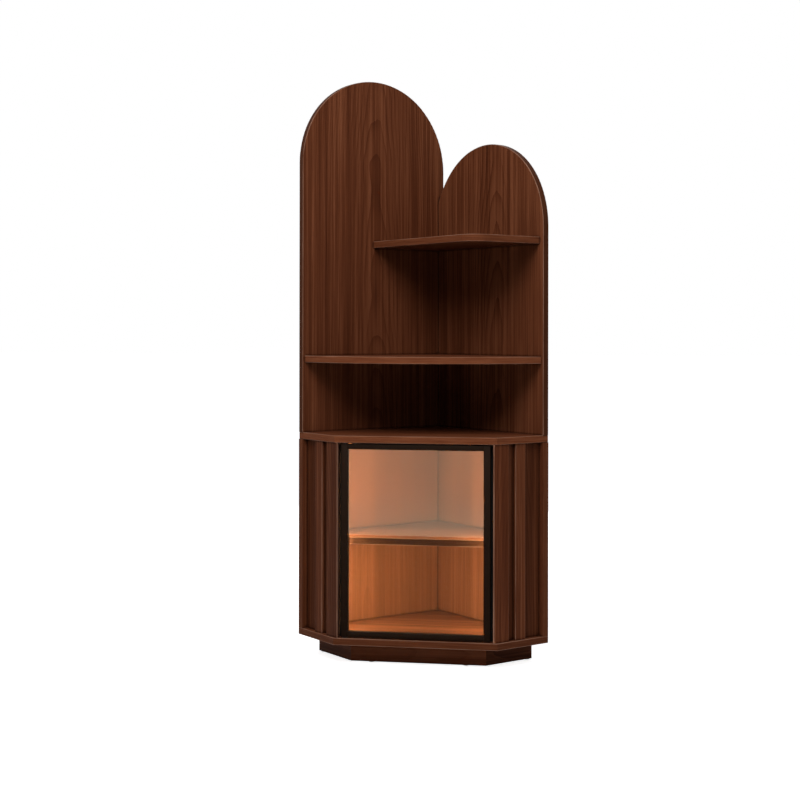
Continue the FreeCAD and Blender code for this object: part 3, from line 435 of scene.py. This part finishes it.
def band_edges(graph, veneer, noise, face, facing, rim):
    """Gives the edges a band of veneer whose grain follows the edge."""
    shade = graph.reckon("MULTIPLY_ADD", noise("band"), FIGURE["band"].weight, BAND_SHADE)
    edge = graph.ramp(shade, veneer.deep, veneer.body, veneer.pale)
    edge = graph.blend(1.0, edge, rim, "MULTIPLY")
    sideways = graph.reckon("SUBTRACT", 1.0, graph.widen(facing, *FACE_LIMITS))
    banded = graph.reckon("MULTIPLY", sideways, graph.reckon("GREATER_THAN", rim, 0.0))
    return graph.blend(banded, face, edge)


def paint_arris_highlight(graph, veneer, noise, colour, facing):
    """Paints a paler highlight on the rounded arrises, in patches."""
    bend = graph.reckon("SUBTRACT", graph.widen(facing, *ARRIS_START), graph.widen(facing, *ARRIS_END))
    highlight_share = graph.reckon("MULTIPLY_ADD", noise("rub"), FIGURE["rub"].weight, veneer.arris_highlight_share)
    return graph.blend(graph.reckon("MULTIPLY", bend, highlight_share, clamp=True), colour, (*veneer.arris_highlight_colour, 1.0))


def paint_crease_shade(graph, veneer, colour):
    """Paints shade into the lacquer's colour in the corners where boards meet, found by ambient occlusion.
    """
    near = graph.add("AmbientOcclusion", {"Distance": veneer.painted_shade_reach}, samples=PAINTED_SHADE_SAMPLES)
    clear = graph.widen(near.outputs["AO"], *PAINTED_SHADE_LIMITS)
    painted_shade = graph.reckon("MULTIPLY_ADD", clear, 1.0 - veneer.corner_painted_shade, veneer.corner_painted_shade)
    return graph.blend(1.0, colour, painted_shade, "MULTIPLY")


def veneer_group(veneer):
    """Makes the node group that paints veneer in a board's own directions."""
    tree = bpy.data.node_groups.new("walnut_figure", "ShaderNodeTree")
    for name, kind in (("Place", "Vector"), ("Facing", "Vector"), ("Seed", "Vector"), ("Depth", "Float"),
                       ("Rim", "Float"), ("Shade", "Float"), ("Figure", "Float")):
        tree.interface.new_socket(name, in_out="INPUT", socket_type=f"NodeSocket{kind}")
    for name, kind in (("Colour", "Color"), ("Roughness", "Float"), ("Height", "Float")):
        tree.interface.new_socket(name, in_out="OUTPUT", socket_type=f"NodeSocket{kind}")
    graph = Graph(tree)
    given = tree.nodes.new("NodeGroupInput").outputs
    place = graph.add("VectorMath", {0: given["Place"], 1: given["Seed"]}, operation="ADD").outputs["Vector"]
    parts = graph.add("SeparateXYZ", {"Vector": given["Place"]}).outputs
    facing = graph.reckon("ABSOLUTE", graph.add("SeparateXYZ", {"Vector": given["Facing"]}).outputs["Y"])

    def noise(name):
        """Adds one of the figure's noises in the board's own directions."""
        return graph.noise(place, FIGURE[name].grains, FIGURE[name].detail)

    fibre = noise("fibre")
    pores = graph.widen(noise("pore"), *PORE_LIMITS)
    rings = growth_rings(graph, veneer, noise, parts, given["Depth"])
    colour = face_colour(graph, veneer, noise, rings, fibre, pores, given["Figure"])
    colour = band_edges(graph, veneer, noise, colour, facing, given["Rim"])
    # The rounded arrises get a painted highlight
    colour = paint_arris_highlight(graph, veneer, noise, colour, facing)
    # Painted shade and painted light: the board's whole colour is scaled by its shade
    colour = graph.blend(1.0, colour, given["Shade"], "MULTIPLY")

    result = tree.nodes.new("NodeGroupOutput").inputs
    # The colour gets painted shade in the corners where boards meet
    graph.feed(result["Colour"], paint_crease_shade(graph, veneer, colour))
    graph.feed(result["Roughness"], graph.reckon("MULTIPLY_ADD", fibre, -FIBRE_GLOSS, veneer.roughness))
    sunk = graph.reckon("MULTIPLY", rings, -RING_RELIEF)
    graph.feed(result["Height"], graph.reckon("SUBTRACT", sunk, pores))
    return tree


def veneer_material(veneer, node):
    """Makes a board's veneer, with its figure centred on the board and its own seed."""
    grain = GRAINS[node]
    material, graph, shader = start_material(f"walnut_{node}")
    turn = Matrix((grain.through.cross(grain.along), grain.through, grain.along))
    low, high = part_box(node)
    centre = turn @ ((low + high) / 2)
    corner = Vector((grain.shift, 0, 0)) - centre
    seed = SEED_STEP * (1 + list(GRAINS).index(node))
    coordinates = graph.add("TexCoord").outputs
    place = graph.add("Mapping", {"Vector": coordinates["Object"], "Rotation": turn.to_euler(),
                                  "Location": corner})
    facing = graph.add("Mapping", {"Vector": coordinates["Normal"], "Rotation": turn.to_euler()},
                       vector_type="VECTOR")
    figure = graph.add("Group", node_tree=bpy.data.node_groups.get("walnut_figure") or veneer_group(veneer))
    for name, value in (("Place", place.outputs["Vector"]), ("Facing", facing.outputs["Vector"]),
                        ("Seed", seed), ("Depth", grain.depth), ("Rim", grain.rim), ("Shade", grain.shade),
                        ("Figure", grain.figure)):
        graph.feed(figure.inputs[name], value)
    bump = graph.add("Bump", {"Height": figure.outputs["Height"], "Distance": veneer.relief,
                              "Strength": VENEER_RELIEF})
    graph.feed(shader.inputs["Base Color"], figure.outputs["Colour"])
    graph.feed(shader.inputs["Roughness"], figure.outputs["Roughness"])
    graph.feed(shader.inputs["Normal"], bump.outputs["Normal"])
    set_sockets(shader, Specular_IOR_Level=veneer.gloss)
    return material


def finish(name):
    """Gives a plain finish whose colour, roughness and relief vary with one stretched noise."""
    found = bpy.data.materials.get(name)
    if found:
        return found
    look = FINISHES[name]
    material, graph, shader = start_material(name)
    place = graph.add("TexCoord").outputs["Object"]
    grains = graph.noise(place, look.grains, FINE_DETAIL)
    patches = graph.reckon("MULTIPLY_ADD", graph.noise(place, PATCHES), PATCH_SHARE, 0.5)
    share = graph.reckon("MULTIPLY_ADD", grains, GRAIN_SHARE, patches, clamp=True)
    colour = getattr(bpy.context.scene.cabinet_trim, look.colour)
    darker = [channel * (1 - look.uneven) for channel in colour]
    lighter = [channel * (1 + look.uneven) for channel in colour]
    graph.feed(shader.inputs["Base Color"], graph.ramp(share, darker, lighter))
    graph.feed(shader.inputs["Roughness"], graph.reckon("MULTIPLY_ADD", grains, ROUGH_SHARE, look.roughness))
    bump = graph.add("Bump", {"Height": grains, "Distance": look.relief, "Strength": RELIEF_SHARE})
    graph.feed(shader.inputs["Normal"], bump.outputs["Normal"])
    set_sockets(shader, Metallic=look.metallic, Specular_IOR_Level=look.gloss)
    return material


def glass_material(trim):
    """Clear float glass with faint wiping marks."""
    material, graph, shader = start_material("float_glass")
    place = graph.add("TexCoord").outputs["Object"]
    marks = graph.widen(graph.noise(place, WIPING, WIPING_DETAIL), *WIPING_LIMITS)
    dimmer = [channel * WIPING_SHADE for channel in trim.glass]
    graph.feed(shader.inputs["Base Color"], graph.blend(marks, (*trim.glass, 1.0), (*dimmer, 1.0)))
    set_sockets(shader, Roughness=0.0, Transmission_Weight=1.0, IOR=GLASS_INDEX,
                Specular_Tint=trim.glass_gleam)
    return material


def glow_material(trim, glow):
    """Opal plastic lit from behind."""
    material, graph, shader = start_material("opal_diffuser")
    place = graph.add("TexCoord").outputs["Object"]
    frost = graph.noise(place, FROST)
    graph.feed(shader.inputs["Roughness"], graph.reckon("MULTIPLY_ADD", frost, ROUGH_SHARE, FROST_ROUGHNESS))
    set_sockets(shader, Base_Color=trim.opal, Emission_Color=glow.colour, Emission_Strength=glow.strength)
    return material


def dress(node, material):
    """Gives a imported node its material."""
    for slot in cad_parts[node].material_slots:
        slot.material = material


def points_of(node):
    """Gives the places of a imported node's vertices."""
    return [vertex.co.copy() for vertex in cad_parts[node].data.vertices]


def middle(points, *directions):
    """Gives the middle of some points' extents along directions that are square to each other."""
    place = Vector()
    for direction in directions:
        reach = [point.dot(direction) for point in points]
        place += direction * (min(reach) + max(reach)) / 2
    return place


def extent(points, direction):
    """Gives how far some points reach along a direction."""
    reach = [point.dot(direction) for point in points]
    return max(reach) - min(reach)


def merged_copy(node):
    """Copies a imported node's mesh with its points merged and its flat faces whole."""
    shape = bmesh.new()
    shape.from_mesh(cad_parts[node].data)
    bmesh.ops.remove_doubles(shape, verts=shape.verts, dist=MERGE)
    bmesh.ops.dissolve_limit(shape, angle_limit=FLAT_ANGLE, verts=shape.verts, edges=shape.edges)
    return shape


def mean_place(points):
    """Gives the mean of some places, rounded so that places can be put in order."""
    return tuple(round(value, DECIMALS) for value in sum(points, Vector()) / len(points))


def solids_of(node):
    """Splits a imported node's mesh into its separate solids, each as a list of places."""
    shape = merged_copy(node)
    waiting = set(shape.verts)
    solids = []
    while waiting:
        queue = [waiting.pop()]
        found = []
        while queue:
            vertex = queue.pop()
            found.append(vertex.co.copy())
            linked = {edge.other_vert(vertex) for edge in vertex.link_edges} & waiting
            waiting -= linked
            queue.extend(linked)
        solids.append(found)
    shape.free()
    return sorted(solids, key=mean_place)


def ease_edges(shape, width, segments, least):
    """Rounds the outer edges that are longer than a least length."""
    edges = [edge for edge in shape.edges
             if len(edge.link_faces) == 2 and edge.is_convex and edge.calc_length() > least
             and edge.calc_face_angle() > SMOOTH_ANGLE]
    bmesh.ops.bevel(shape, geom=edges, affect="EDGES", offset=width, segments=segments, profile=0.5,
                    material=-1, clamp_overlap=True)
    bmesh.ops.remove_doubles(shape, verts=shape.verts, dist=MERGE)
    return shape


def turned(profile, steps):
    """Spins a closed profile of radius and height pairs about the Z axis."""
    shape = bmesh.new()
    corners = [shape.verts.new((radius, 0, height)) for radius, height in profile]
    edges = [shape.edges.new(pair) for pair in zip(corners, corners[1:])]
    bmesh.ops.spin(shape, geom=corners + edges, cent=(0, 0, 0), axis=UP, angle=FULL_TURN, steps=steps,
                   use_merge=True)
    bmesh.ops.remove_doubles(shape, verts=shape.verts, dist=MERGE)
    bmesh.ops.recalc_face_normals(shape, faces=shape.faces)
    return shape


def block(size):
    """Makes a block of the given size about the origin."""
    shape = bmesh.new()
    bmesh.ops.create_cube(shape, size=1.0)
    bmesh.ops.scale(shape, vec=size, verts=shape.verts)
    return shape


def moved(shape, place, axis=UP, across=None):
    """Turns a shape's Z axis to an axis, and its X axis to another if one is given, and moves it."""
    if across is None:
        turn = UP.rotation_difference(axis).to_matrix()
    else:
        turn = Matrix((across, axis.cross(across), axis)).transposed()
    bmesh.ops.transform(shape, matrix=Matrix.Translation(place) @ turn.to_4x4(), verts=shape.verts)
    return shape


def joined(shapes):
    """Puts several shapes into one, each still a closed solid."""
    whole = bmesh.new()
    for shape in shapes:
        part = bpy.data.meshes.new("part")
        shape.to_mesh(part)
        shape.free()
        whole.from_mesh(part)
        bpy.data.meshes.remove(part)
    return whole


def add_piece(name, shape, body, slot, materials, *nodes):
    """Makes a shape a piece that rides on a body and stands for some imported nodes."""
    mesh = bpy.data.meshes.new(name)
    shape.to_mesh(mesh)
    shape.free()
    for material in materials:
        mesh.materials.append(material)
    mesh.shade_smooth()
    mesh.set_sharp_from_angle(angle=SMOOTH_ANGLE)
    piece = bpy.data.objects.new(name, mesh)
    bpy.context.scene.collection.objects.link(piece)
    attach(piece, body)
    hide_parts(*nodes)


def dress_boards(context, *words):
    """Veneers every board whose name starts with one of the words."""
    for node in GRAINS:
        if node.startswith(words):
            dress(node, veneer_material(context.scene.cabinet_veneer, node))


class CABINET_OT_wall_panels(bpy.types.Operator):
    """Veneer the arched panels and the two panels behind the cupboard"""
    bl_idname = "cabinet.wall_panels"
    bl_label = "Wall Panels"

    def execute(self, context):
        dress_boards(context, "upper_back", "lower_back")
        return {"FINISHED"}


class CABINET_OT_level_boards(bpy.types.Operator):
    """Veneer the bottom board, the top board and the three shelves"""
    bl_idname = "cabinet.level_boards"
    bl_label = "Boards and Shelves"

    def execute(self, context):
        dress_boards(context, "bottom_board", "top_board", "mid_shelf", "inner_shelf", "upper_shelf")
        return {"FINISHED"}


class CABINET_OT_fluted_sides(bpy.types.Operator):
    """Veneer the side panels, their ribs and the corner posts"""
    bl_idname = "cabinet.fluted_sides"
    bl_label = "Fluted Sides"

    def execute(self, context):
        dress_boards(context, "side_panel", "side_rib", "corner_post")
        return {"FINISHED"}


class CABINET_OT_plinth(bpy.types.Operator):
    """Veneer the plinth, finish its blocks and make its glides"""
    bl_idname = "cabinet.plinth"
    bl_label = "Plinth"

    def execute(self, context):
        rounding = context.scene.cabinet_rounding
        dress_boards(context, "plinth")
        dress("plinth_blocks", finish("flecked_beech"))
        dress("plinth_screws", finish("plated_zinc"))
        discs = []
        for points in solids_of("glides"):
            centre = middle(points, ALONG_DOOR, INTO_CORNER)
            radius = extent(points, ALONG_DOOR) / 2
            shank = radius * SHANK_SHARE
            floor = min(point.z for point in points)
            top = max(point.z for point in points)
            face = max(point.z for point in points if (point - centre).xy.length > radius / 2)
            profile = [(0, floor), (radius, floor), (radius, face), (shank, face), (shank, top), (0, top)]
            disc = turned(profile, rounding.steps)
            discs.append(moved(ease_edges(disc, rounding.plate_edge, rounding.segments, 0), centre))
        nylon = finish("moulded_nylon")
        add_piece("rounded_glides", joined(discs), "cabinet", "white_nylon", [nylon], "glides")
        return {"FINISHED"}


class CABINET_OT_door(bpy.types.Operator):
    """Make the black door frame with its corner plates, and finish its glass, gasket and stop strips"""
    bl_idname = "cabinet.door"
    bl_label = "Glazed Door"

    def execute(self, context):
        rounding = context.scene.cabinet_rounding
        black = finish("lacquered_black")
        for node in ("door_stile_hinge", "door_stile_pull", "door_rail_bottom", "door_rail_top"):
            shape = ease_edges(merged_copy(node), rounding.frame_edge, rounding.segments, FRAME_LEAST)
            add_piece(f"eased_{node}", shape, "door", "black_frame", [black], node)
        dress("door_glass", glass_material(context.scene.cabinet_trim))
        for node in ("glass_gasket", "stop_strip_left", "stop_strip_right", "stop_strip_top"):
            dress(node, finish("soft_rubber"))
        zinc = finish("plated_zinc")
        plates = merged_copy("door_corner_plates")
        ease_edges(plates, rounding.plate_edge, rounding.segments, PLATE_LEAST)
        add_piece("eased_corner_plates", plates, "door", "zinc_steel", [zinc], "door_corner_plates")
        dress("door_screws", zinc)
        return {"FINISHED"}


class CABINET_OT_pivots(bpy.types.Operator):
    """Make the pivot plates and finish the bushes that their pins turn in"""
    bl_idname = "cabinet.pivots"
    bl_label = "Pivot Hinges"

    def execute(self, context):
        rounding = context.scene.cabinet_rounding
        steel = finish("blackened_steel")
        for level in ("bottom", "top"):
            plate = merged_copy(f"hinge_pivot_{level}")
            ease_edges(plate, rounding.plate_edge, rounding.segments, PLATE_LEAST)
            add_piece(f"eased_pivot_{level}", plate, "door", "black_steel", [steel], f"hinge_pivot_{level}")
            dress(f"hinge_bush_{level}", finish("moulded_black"))
        return {"FINISHED"}


class CABINET_OT_catch(bpy.types.Operator):
    """Make the magnetic catch under the top board and its plate on the door"""
    bl_idname = "cabinet.catch"
    bl_label = "Magnetic Catch"

    def execute(self, context):
        rounding = context.scene.cabinet_rounding
        rows = (("catch_housing", "cabinet", "black_plastic", "moulded_black", rounding.housing_edge),
                ("catch_magnet", "cabinet", "zinc_steel", "magnet", rounding.plate_edge),
                ("strike_plate", "door", "zinc_steel", "plated_zinc", rounding.plate_edge))
        for node, body, slot, look, width in rows:
            shape = ease_edges(merged_copy(node), width, rounding.segments, CATCH_LEAST)
            add_piece(f"eased_{node}", shape, body, slot, [finish(look)], node)
        dress("catch_screws", finish("plated_zinc"))
        return {"FINISHED"}


class CABINET_OT_light_bars(bpy.types.Operator):
    """Make the tapes of light chips and the glowing lenses, and finish their channels"""
    bl_idname = "cabinet.light_bars"
    bl_label = "Light Bars"

    def lens(self, glow, points, outwards, across):
        """Makes a lens with a flat back and a bulging front."""
        half = extent(points, across) / 2
        rise = glow.lens_rise
        radius = (half * half + rise * rise) / (2 * rise)
        sweep = math.asin(half / radius)
        shape = bmesh.new()
        rim = shape.verts.new((-half, 0, 0))
        centre = (0, rise - radius, 0)
        bmesh.ops.spin(shape, geom=[rim], cent=centre, axis=-UP, angle=2 * sweep, steps=LENS_STEPS)
        back = -extent(points, outwards)
        corners = [shape.verts.new((side, back, 0)) for side in (-half, half)]
        shape.verts.ensure_lookup_table()
        ends = sorted((vertex for vertex in shape.verts if vertex.co.y > back / 2), key=lambda v: v.co.x)
        for pair in ((ends[0], corners[0]), (corners[0], corners[1]), (corners[1], ends[-1])):
            shape.edges.new(pair)
        bmesh.ops.contextual_create(shape, geom=list(shape.edges))
        moving = bmesh.ops.extrude_face_region(shape, geom=list(shape.faces))["geom"]
        top = [item for item in moving if isinstance(item, bmesh.types.BMVert)]
        bmesh.ops.translate(shape, vec=UP * extent(points, UP), verts=top)
        bmesh.ops.recalc_face_normals(shape, faces=shape.faces)
        front = max(point.dot(outwards) for point in points)
        foot = min(point.z for point in points)
        return moved(shape, middle(points, across) + outwards * front + UP * foot, UP, across)

    def chips(self, glow, points, outwards, across):
        """Makes the tape and a row of chips on it."""
        size = (extent(points, across), extent(points, outwards), extent(points, UP))
        shapes = [block(size)]
        for index in range(int(size[2] / glow.chip_pitch)):
            chip = block((glow.chip_side, glow.chip_height, glow.chip_side))
            ease_edges(chip, glow.chip_height * CHIP_ROUNDING, 1, 0)
            rise = (index + 0.5) * glow.chip_pitch - size[2] / 2
            bmesh.ops.translate(chip, vec=(0, (size[1] + glow.chip_height) / 2, rise), verts=chip.verts)
            for face in chip.faces:
                face.material_index = 1
            shapes.append(chip)
        return moved(joined(shapes), middle(points, across, outwards, UP), UP, across)

    def execute(self, context):
        glow = context.scene.cabinet_glow
        opal = glow_material(context.scene.cabinet_trim, glow)
        looks = [finish("light_tape"), finish("light_chip")]
        for side, wall in (("left", LEFT_WALL), ("right", RIGHT_WALL)):
            outwards = -wall
            across = outwards.cross(UP)
            dress(f"light_channel_{side}", finish("brushed_aluminium"))
            points = points_of(f"light_diffuser_{side}")
            lens = self.lens(glow, points, outwards, across)
            add_piece(f"opal_lens_{side}", lens, "cabinet", "light_diffuser", [opal],
                      f"light_diffuser_{side}")
            points = points_of(f"light_strip_{side}")
            row = self.chips(glow, points, outwards, across)
            add_piece(f"chip_tape_{side}", row, "cabinet", "light_strip", looks, f"light_strip_{side}")
        return {"FINISHED"}


class CABINET_OT_cable_grommet(bpy.types.Operator):
    """Make the flanged ring round the cable outlet"""
    bl_idname = "cabinet.cable_grommet"
    bl_label = "Cable Grommet"

    def execute(self, context):
        rounding = context.scene.cabinet_rounding
        points = points_of("cable_grommet")
        inwards = RIGHT_WALL
        centre = middle(points, LEFT_WALL, UP)
        distances = {}
        for point in points:
            reach = (point - centre - inwards * (point - centre).dot(inwards)).length
            distances.setdefault(round(reach, DECIMALS), []).append(point.dot(inwards))
        bore, sleeve, flange = sorted(distances)[0], sorted(distances)[1], sorted(distances)[-1]
        low, face = min(distances[sleeve]), min(distances[flange])
        top = max(distances[flange])
        profile = [(bore, low), (sleeve, low), (sleeve, face), (flange, face), (flange, top), (bore, top),
                   (bore, low)]
        ring = ease_edges(turned(profile, rounding.steps), rounding.housing_edge, rounding.segments, 0)
        add_piece("moulded_grommet", moved(ring, centre, inwards), "cabinet", "black_plastic",
                  [finish("moulded_black")], "cable_grommet")
        return {"FINISHED"}


class CABINET_OT_fittings(bpy.types.Operator):
    """Make the slotted cams and finish the screws, bolts, dowels and shelf pins"""
    bl_idname = "cabinet.fittings"
    bl_label = "Fittings"

    def cam(self, rounding, points, outwards):
        """Makes one cam with a cross slot in its face."""
        radius = extent(points, UP) / 2
        depth = extent(points, outwards)
        profile = [(0, -depth), (radius, -depth), (radius, 0), (0, 0)]
        disc = ease_edges(turned(profile, rounding.steps), rounding.plate_edge, rounding.segments, 0)
        half = rounding.slot_width / 2
        length = radius * rounding.slot_share
        for direction in (ALONG_DOOR, INTO_CORNER):
            for distance in (-length, -half, half, length):
                parts = list(disc.verts) + list(disc.edges) + list(disc.faces)
                bmesh.ops.bisect_plane(disc, geom=parts, plane_co=direction * distance, plane_no=direction)
        slot = []
        for face in disc.faces:
            x, y, z = (abs(value) for value in face.calc_center_median())
            if z < MERGE and min(x, y) < half and max(x, y) < length:
                slot.append(face)
        pressed = bmesh.ops.extrude_face_region(disc, geom=slot)["geom"]
        sunk = [item for item in pressed if isinstance(item, bmesh.types.BMVert)]
        bmesh.ops.translate(disc, vec=-UP * rounding.slot_depth, verts=sunk)
        bmesh.ops.delete(disc, geom=slot, context="FACES_KEEP_BOUNDARY")
        bmesh.ops.remove_doubles(disc, verts=disc.verts, dist=MERGE)
        bmesh.ops.recalc_face_normals(disc, faces=disc.faces)
        face_level = max(point.dot(outwards) for point in points)
        across = outwards.cross(UP)
        return moved(disc, middle(points, UP, across) + outwards * face_level, outwards, across)

    def execute(self, context):
        rounding = context.scene.cabinet_rounding
        zinc = finish("plated_zinc")
        cams = []
        for points in solids_of("cam_locks"):
            behind = middle(points, ALONG_DOOR)
            outwards = -RIGHT_WALL if behind.x < 0 else -LEFT_WALL
            cams.append(self.cam(rounding, points, outwards))
        add_piece("slotted_cams", joined(cams), "cabinet", "zinc_steel", [zinc], "cam_locks")
        for node in ("panel_screws", "cam_bolts", "shelf_pins"):
            dress(node, zinc)
        dress("dowels", finish("flecked_beech"))
        return {"FINISHED"}


class CABINET_OT_studio(bpy.types.Operator):
    """Set the floor, the pale surroundings, the soft lamps and the camera"""
    bl_idname = "cabinet.studio"
    bl_label = "Studio"

    def flat(self, name, size, place, material):
        """Makes a flat rectangle of the stage."""
        shape = bmesh.new()
        bmesh.ops.create_grid(shape, x_segments=1, y_segments=1, size=0.5)
        bmesh.ops.scale(shape, vec=(*size, 1.0), verts=shape.verts)
        bmesh.ops.translate(shape, vec=place, verts=shape.verts)
        mesh = bpy.data.meshes.new(name)
        shape.to_mesh(mesh)
        shape.free()
        mesh.materials.append(material)
        flat = bpy.data.objects.new(name, mesh)
        bpy.context.scene.collection.objects.link(flat)
        return flat

    def floor(self, studio):
        """Makes a wide pale floor that keeps the cabinet's shadow."""
        material, graph, shader = start_material("studio_floor")
        lift = graph.reckon("MULTIPLY", self.seen(graph), studio.floor_lift)
        graph.feed(shader.inputs["Emission Strength"], lift)
        set_sockets(shader, Base_Color=studio.floor_colour, Roughness=MATT, Specular_IOR_Level=0.0,
                    Emission_Color=WHITE)
        floor = self.flat("studio_floor", (studio.floor_side, studio.floor_side), (0, 0, 0), material)

    def card(self, studio):
        """Lays a dark card that only mirrors show, so that the lower half of the glass stays clear."""
        material, graph, shader = start_material("dark_card")
        mirrors = graph.add("LightPath").outputs["Glossy Depth"]
        graph.feed(shader.inputs["Alpha"], graph.reckon("GREATER_THAN", mirrors, 0.5))
        set_sockets(shader, Base_Color=studio.card_colour, Roughness=MATT, Specular_IOR_Level=0.0)
        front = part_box("door_glass")[0].y
        place = (0, front - studio.card_reach / 2, CARD_LIFT)
        card = self.flat("dark_card", (studio.card_side, studio.card_reach), place, material)
        for kind in ("camera", "diffuse", "shadow"):
            setattr(card, f"visible_{kind}", False)

    def seen(self, graph):
        """Gives 1 for what the camera sees, in mirrors and through glass too, and 0 for light that falls."""
        rays = graph.add("LightPath").outputs
        mirrored = graph.reckon("MAXIMUM", rays["Is Glossy Ray"], rays["Is Transmission Ray"])
        unscattered = graph.reckon("LESS_THAN", rays["Diffuse Depth"], 0.5)
        mirrored = graph.reckon("MULTIPLY", mirrored, unscattered)
        return graph.reckon("MAXIMUM", rays["Is Camera Ray"], mirrored)

    def sky(self, studio):
        """Makes the even light, white where it is seen."""
        world = bpy.data.worlds.new("studio_sky")
        world.use_nodes = True
        world.node_tree.nodes.clear()
        graph = Graph(world.node_tree)
        lift = graph.reckon("MULTIPLY_ADD", self.seen(graph), 1.0 - studio.sky, studio.sky)
        background = graph.add("Background", {"Color": (*WHITE, 1.0), "Strength": lift})
        output = graph.add("OutputWorld")
        graph.feed(output.inputs["Surface"], background.outputs["Background"])
        bpy.context.scene.world = world

    def lamp(self, name, power, size, place, target):
        """Hangs a soft square lamp that looks at a target."""
        light = bpy.data.lights.new(name, "AREA")
        light.energy = power
        light.size = size
        lamp = bpy.data.objects.new(name, light)
        lamp.location = place
        lamp.rotation_euler = (target - place).to_track_quat("-Z", "Y").to_euler()
        for kind in ("camera", "transmission"):
            setattr(lamp, f"visible_{kind}", False)
        bpy.context.scene.collection.objects.link(lamp)

    def camera(self, studio):
        """Sets the camera at the photograph's place."""
        eye = bpy.data.cameras.new("studio_camera")
        eye.lens = studio.lens
        eye.shift_y = studio.shift
        camera = bpy.data.objects.new("studio_camera", eye)
        level = Euler((math.pi / 2, 0, studio.camera_heading)).to_matrix()
        roll = Matrix.Rotation(studio.camera_roll, 3, "Z")
        camera.matrix_world = Matrix.Translation(studio.camera_place) @ (level @ roll).to_4x4()
        bpy.context.scene.collection.objects.link(camera)
        bpy.context.scene.camera = camera

    def execute(self, context):
        studio = context.scene.cabinet_studio
        low, high = cad_box
        front = Vector(((low[0] + high[0]) / 2, low[1], (low[2] + high[2]) / 2))
        self.floor(studio)
        self.card(studio)
        self.sky(studio)
        self.lamp("key_lamp", studio.key_power, studio.key_size, studio.key_place, studio.key_target)
        self.lamp("fill_lamp", studio.fill_power, studio.soft_size, front + studio.fill_offset, front)
        self.lamp("rear_lamp", studio.rear_power, studio.soft_size, front + studio.rear_offset, front)
        self.camera(studio)
        context.scene.view_settings.view_transform = "Standard"
        return {"FINISHED"}


SETTINGS = {
    "cabinet_veneer": CabinetVeneer,
    "cabinet_trim": CabinetTrim,
    "cabinet_rounding": CabinetRounding,
    "cabinet_glow": CabinetGlow,
    "cabinet_studio": CabinetStudio,
}
OPERATORS = (
    CABINET_OT_wall_panels,
    CABINET_OT_level_boards,
    CABINET_OT_fluted_sides,
    CABINET_OT_plinth,
    CABINET_OT_door,
    CABINET_OT_pivots,
    CABINET_OT_catch,
    CABINET_OT_light_bars,
    CABINET_OT_cable_grommet,
    CABINET_OT_fittings,
    CABINET_OT_studio,
)


class CABINET_PT_finishes(bpy.types.Panel):
    """Lists the cabinet's steps and settings"""
    bl_idname = "CABINET_PT_finishes"
    bl_label = "Corner Cabinet"
    bl_space_type = "VIEW_3D"
    bl_region_type = "UI"
    bl_category = "Cabinet"

    def draw(self, context):
        for operator in OPERATORS:
            self.layout.operator(operator.bl_idname)
        for name, group in SETTINGS.items():
            settings = getattr(context.scene, name)
            box = self.layout.box()
            for key in group.__annotations__:
                box.prop(settings, key)


def register():
    """Adds the settings, the steps and the panel."""
    for group in SETTINGS.values():
        bpy.utils.register_class(group)
    for name, group in SETTINGS.items():
        setattr(bpy.types.Scene, name, PointerProperty(type=group))
    for operator in OPERATORS:
        bpy.utils.register_class(operator)
    bpy.utils.register_class(CABINET_PT_finishes)


def unregister():
    """Removes the settings, the steps and the panel."""
    bpy.utils.unregister_class(CABINET_PT_finishes)
    for operator in reversed(OPERATORS):
        bpy.utils.unregister_class(operator)
    for name in SETTINGS:
        delattr(bpy.types.Scene, name)
    for group in SETTINGS.values():
        bpy.utils.unregister_class(group)


def main():
    """Runs every step in order."""
    register()
    for operator in OPERATORS:
        step = operator.bl_idname.split(".")[1]
        getattr(bpy.ops.cabinet, step)()


if __name__ == "__main__":
    main()
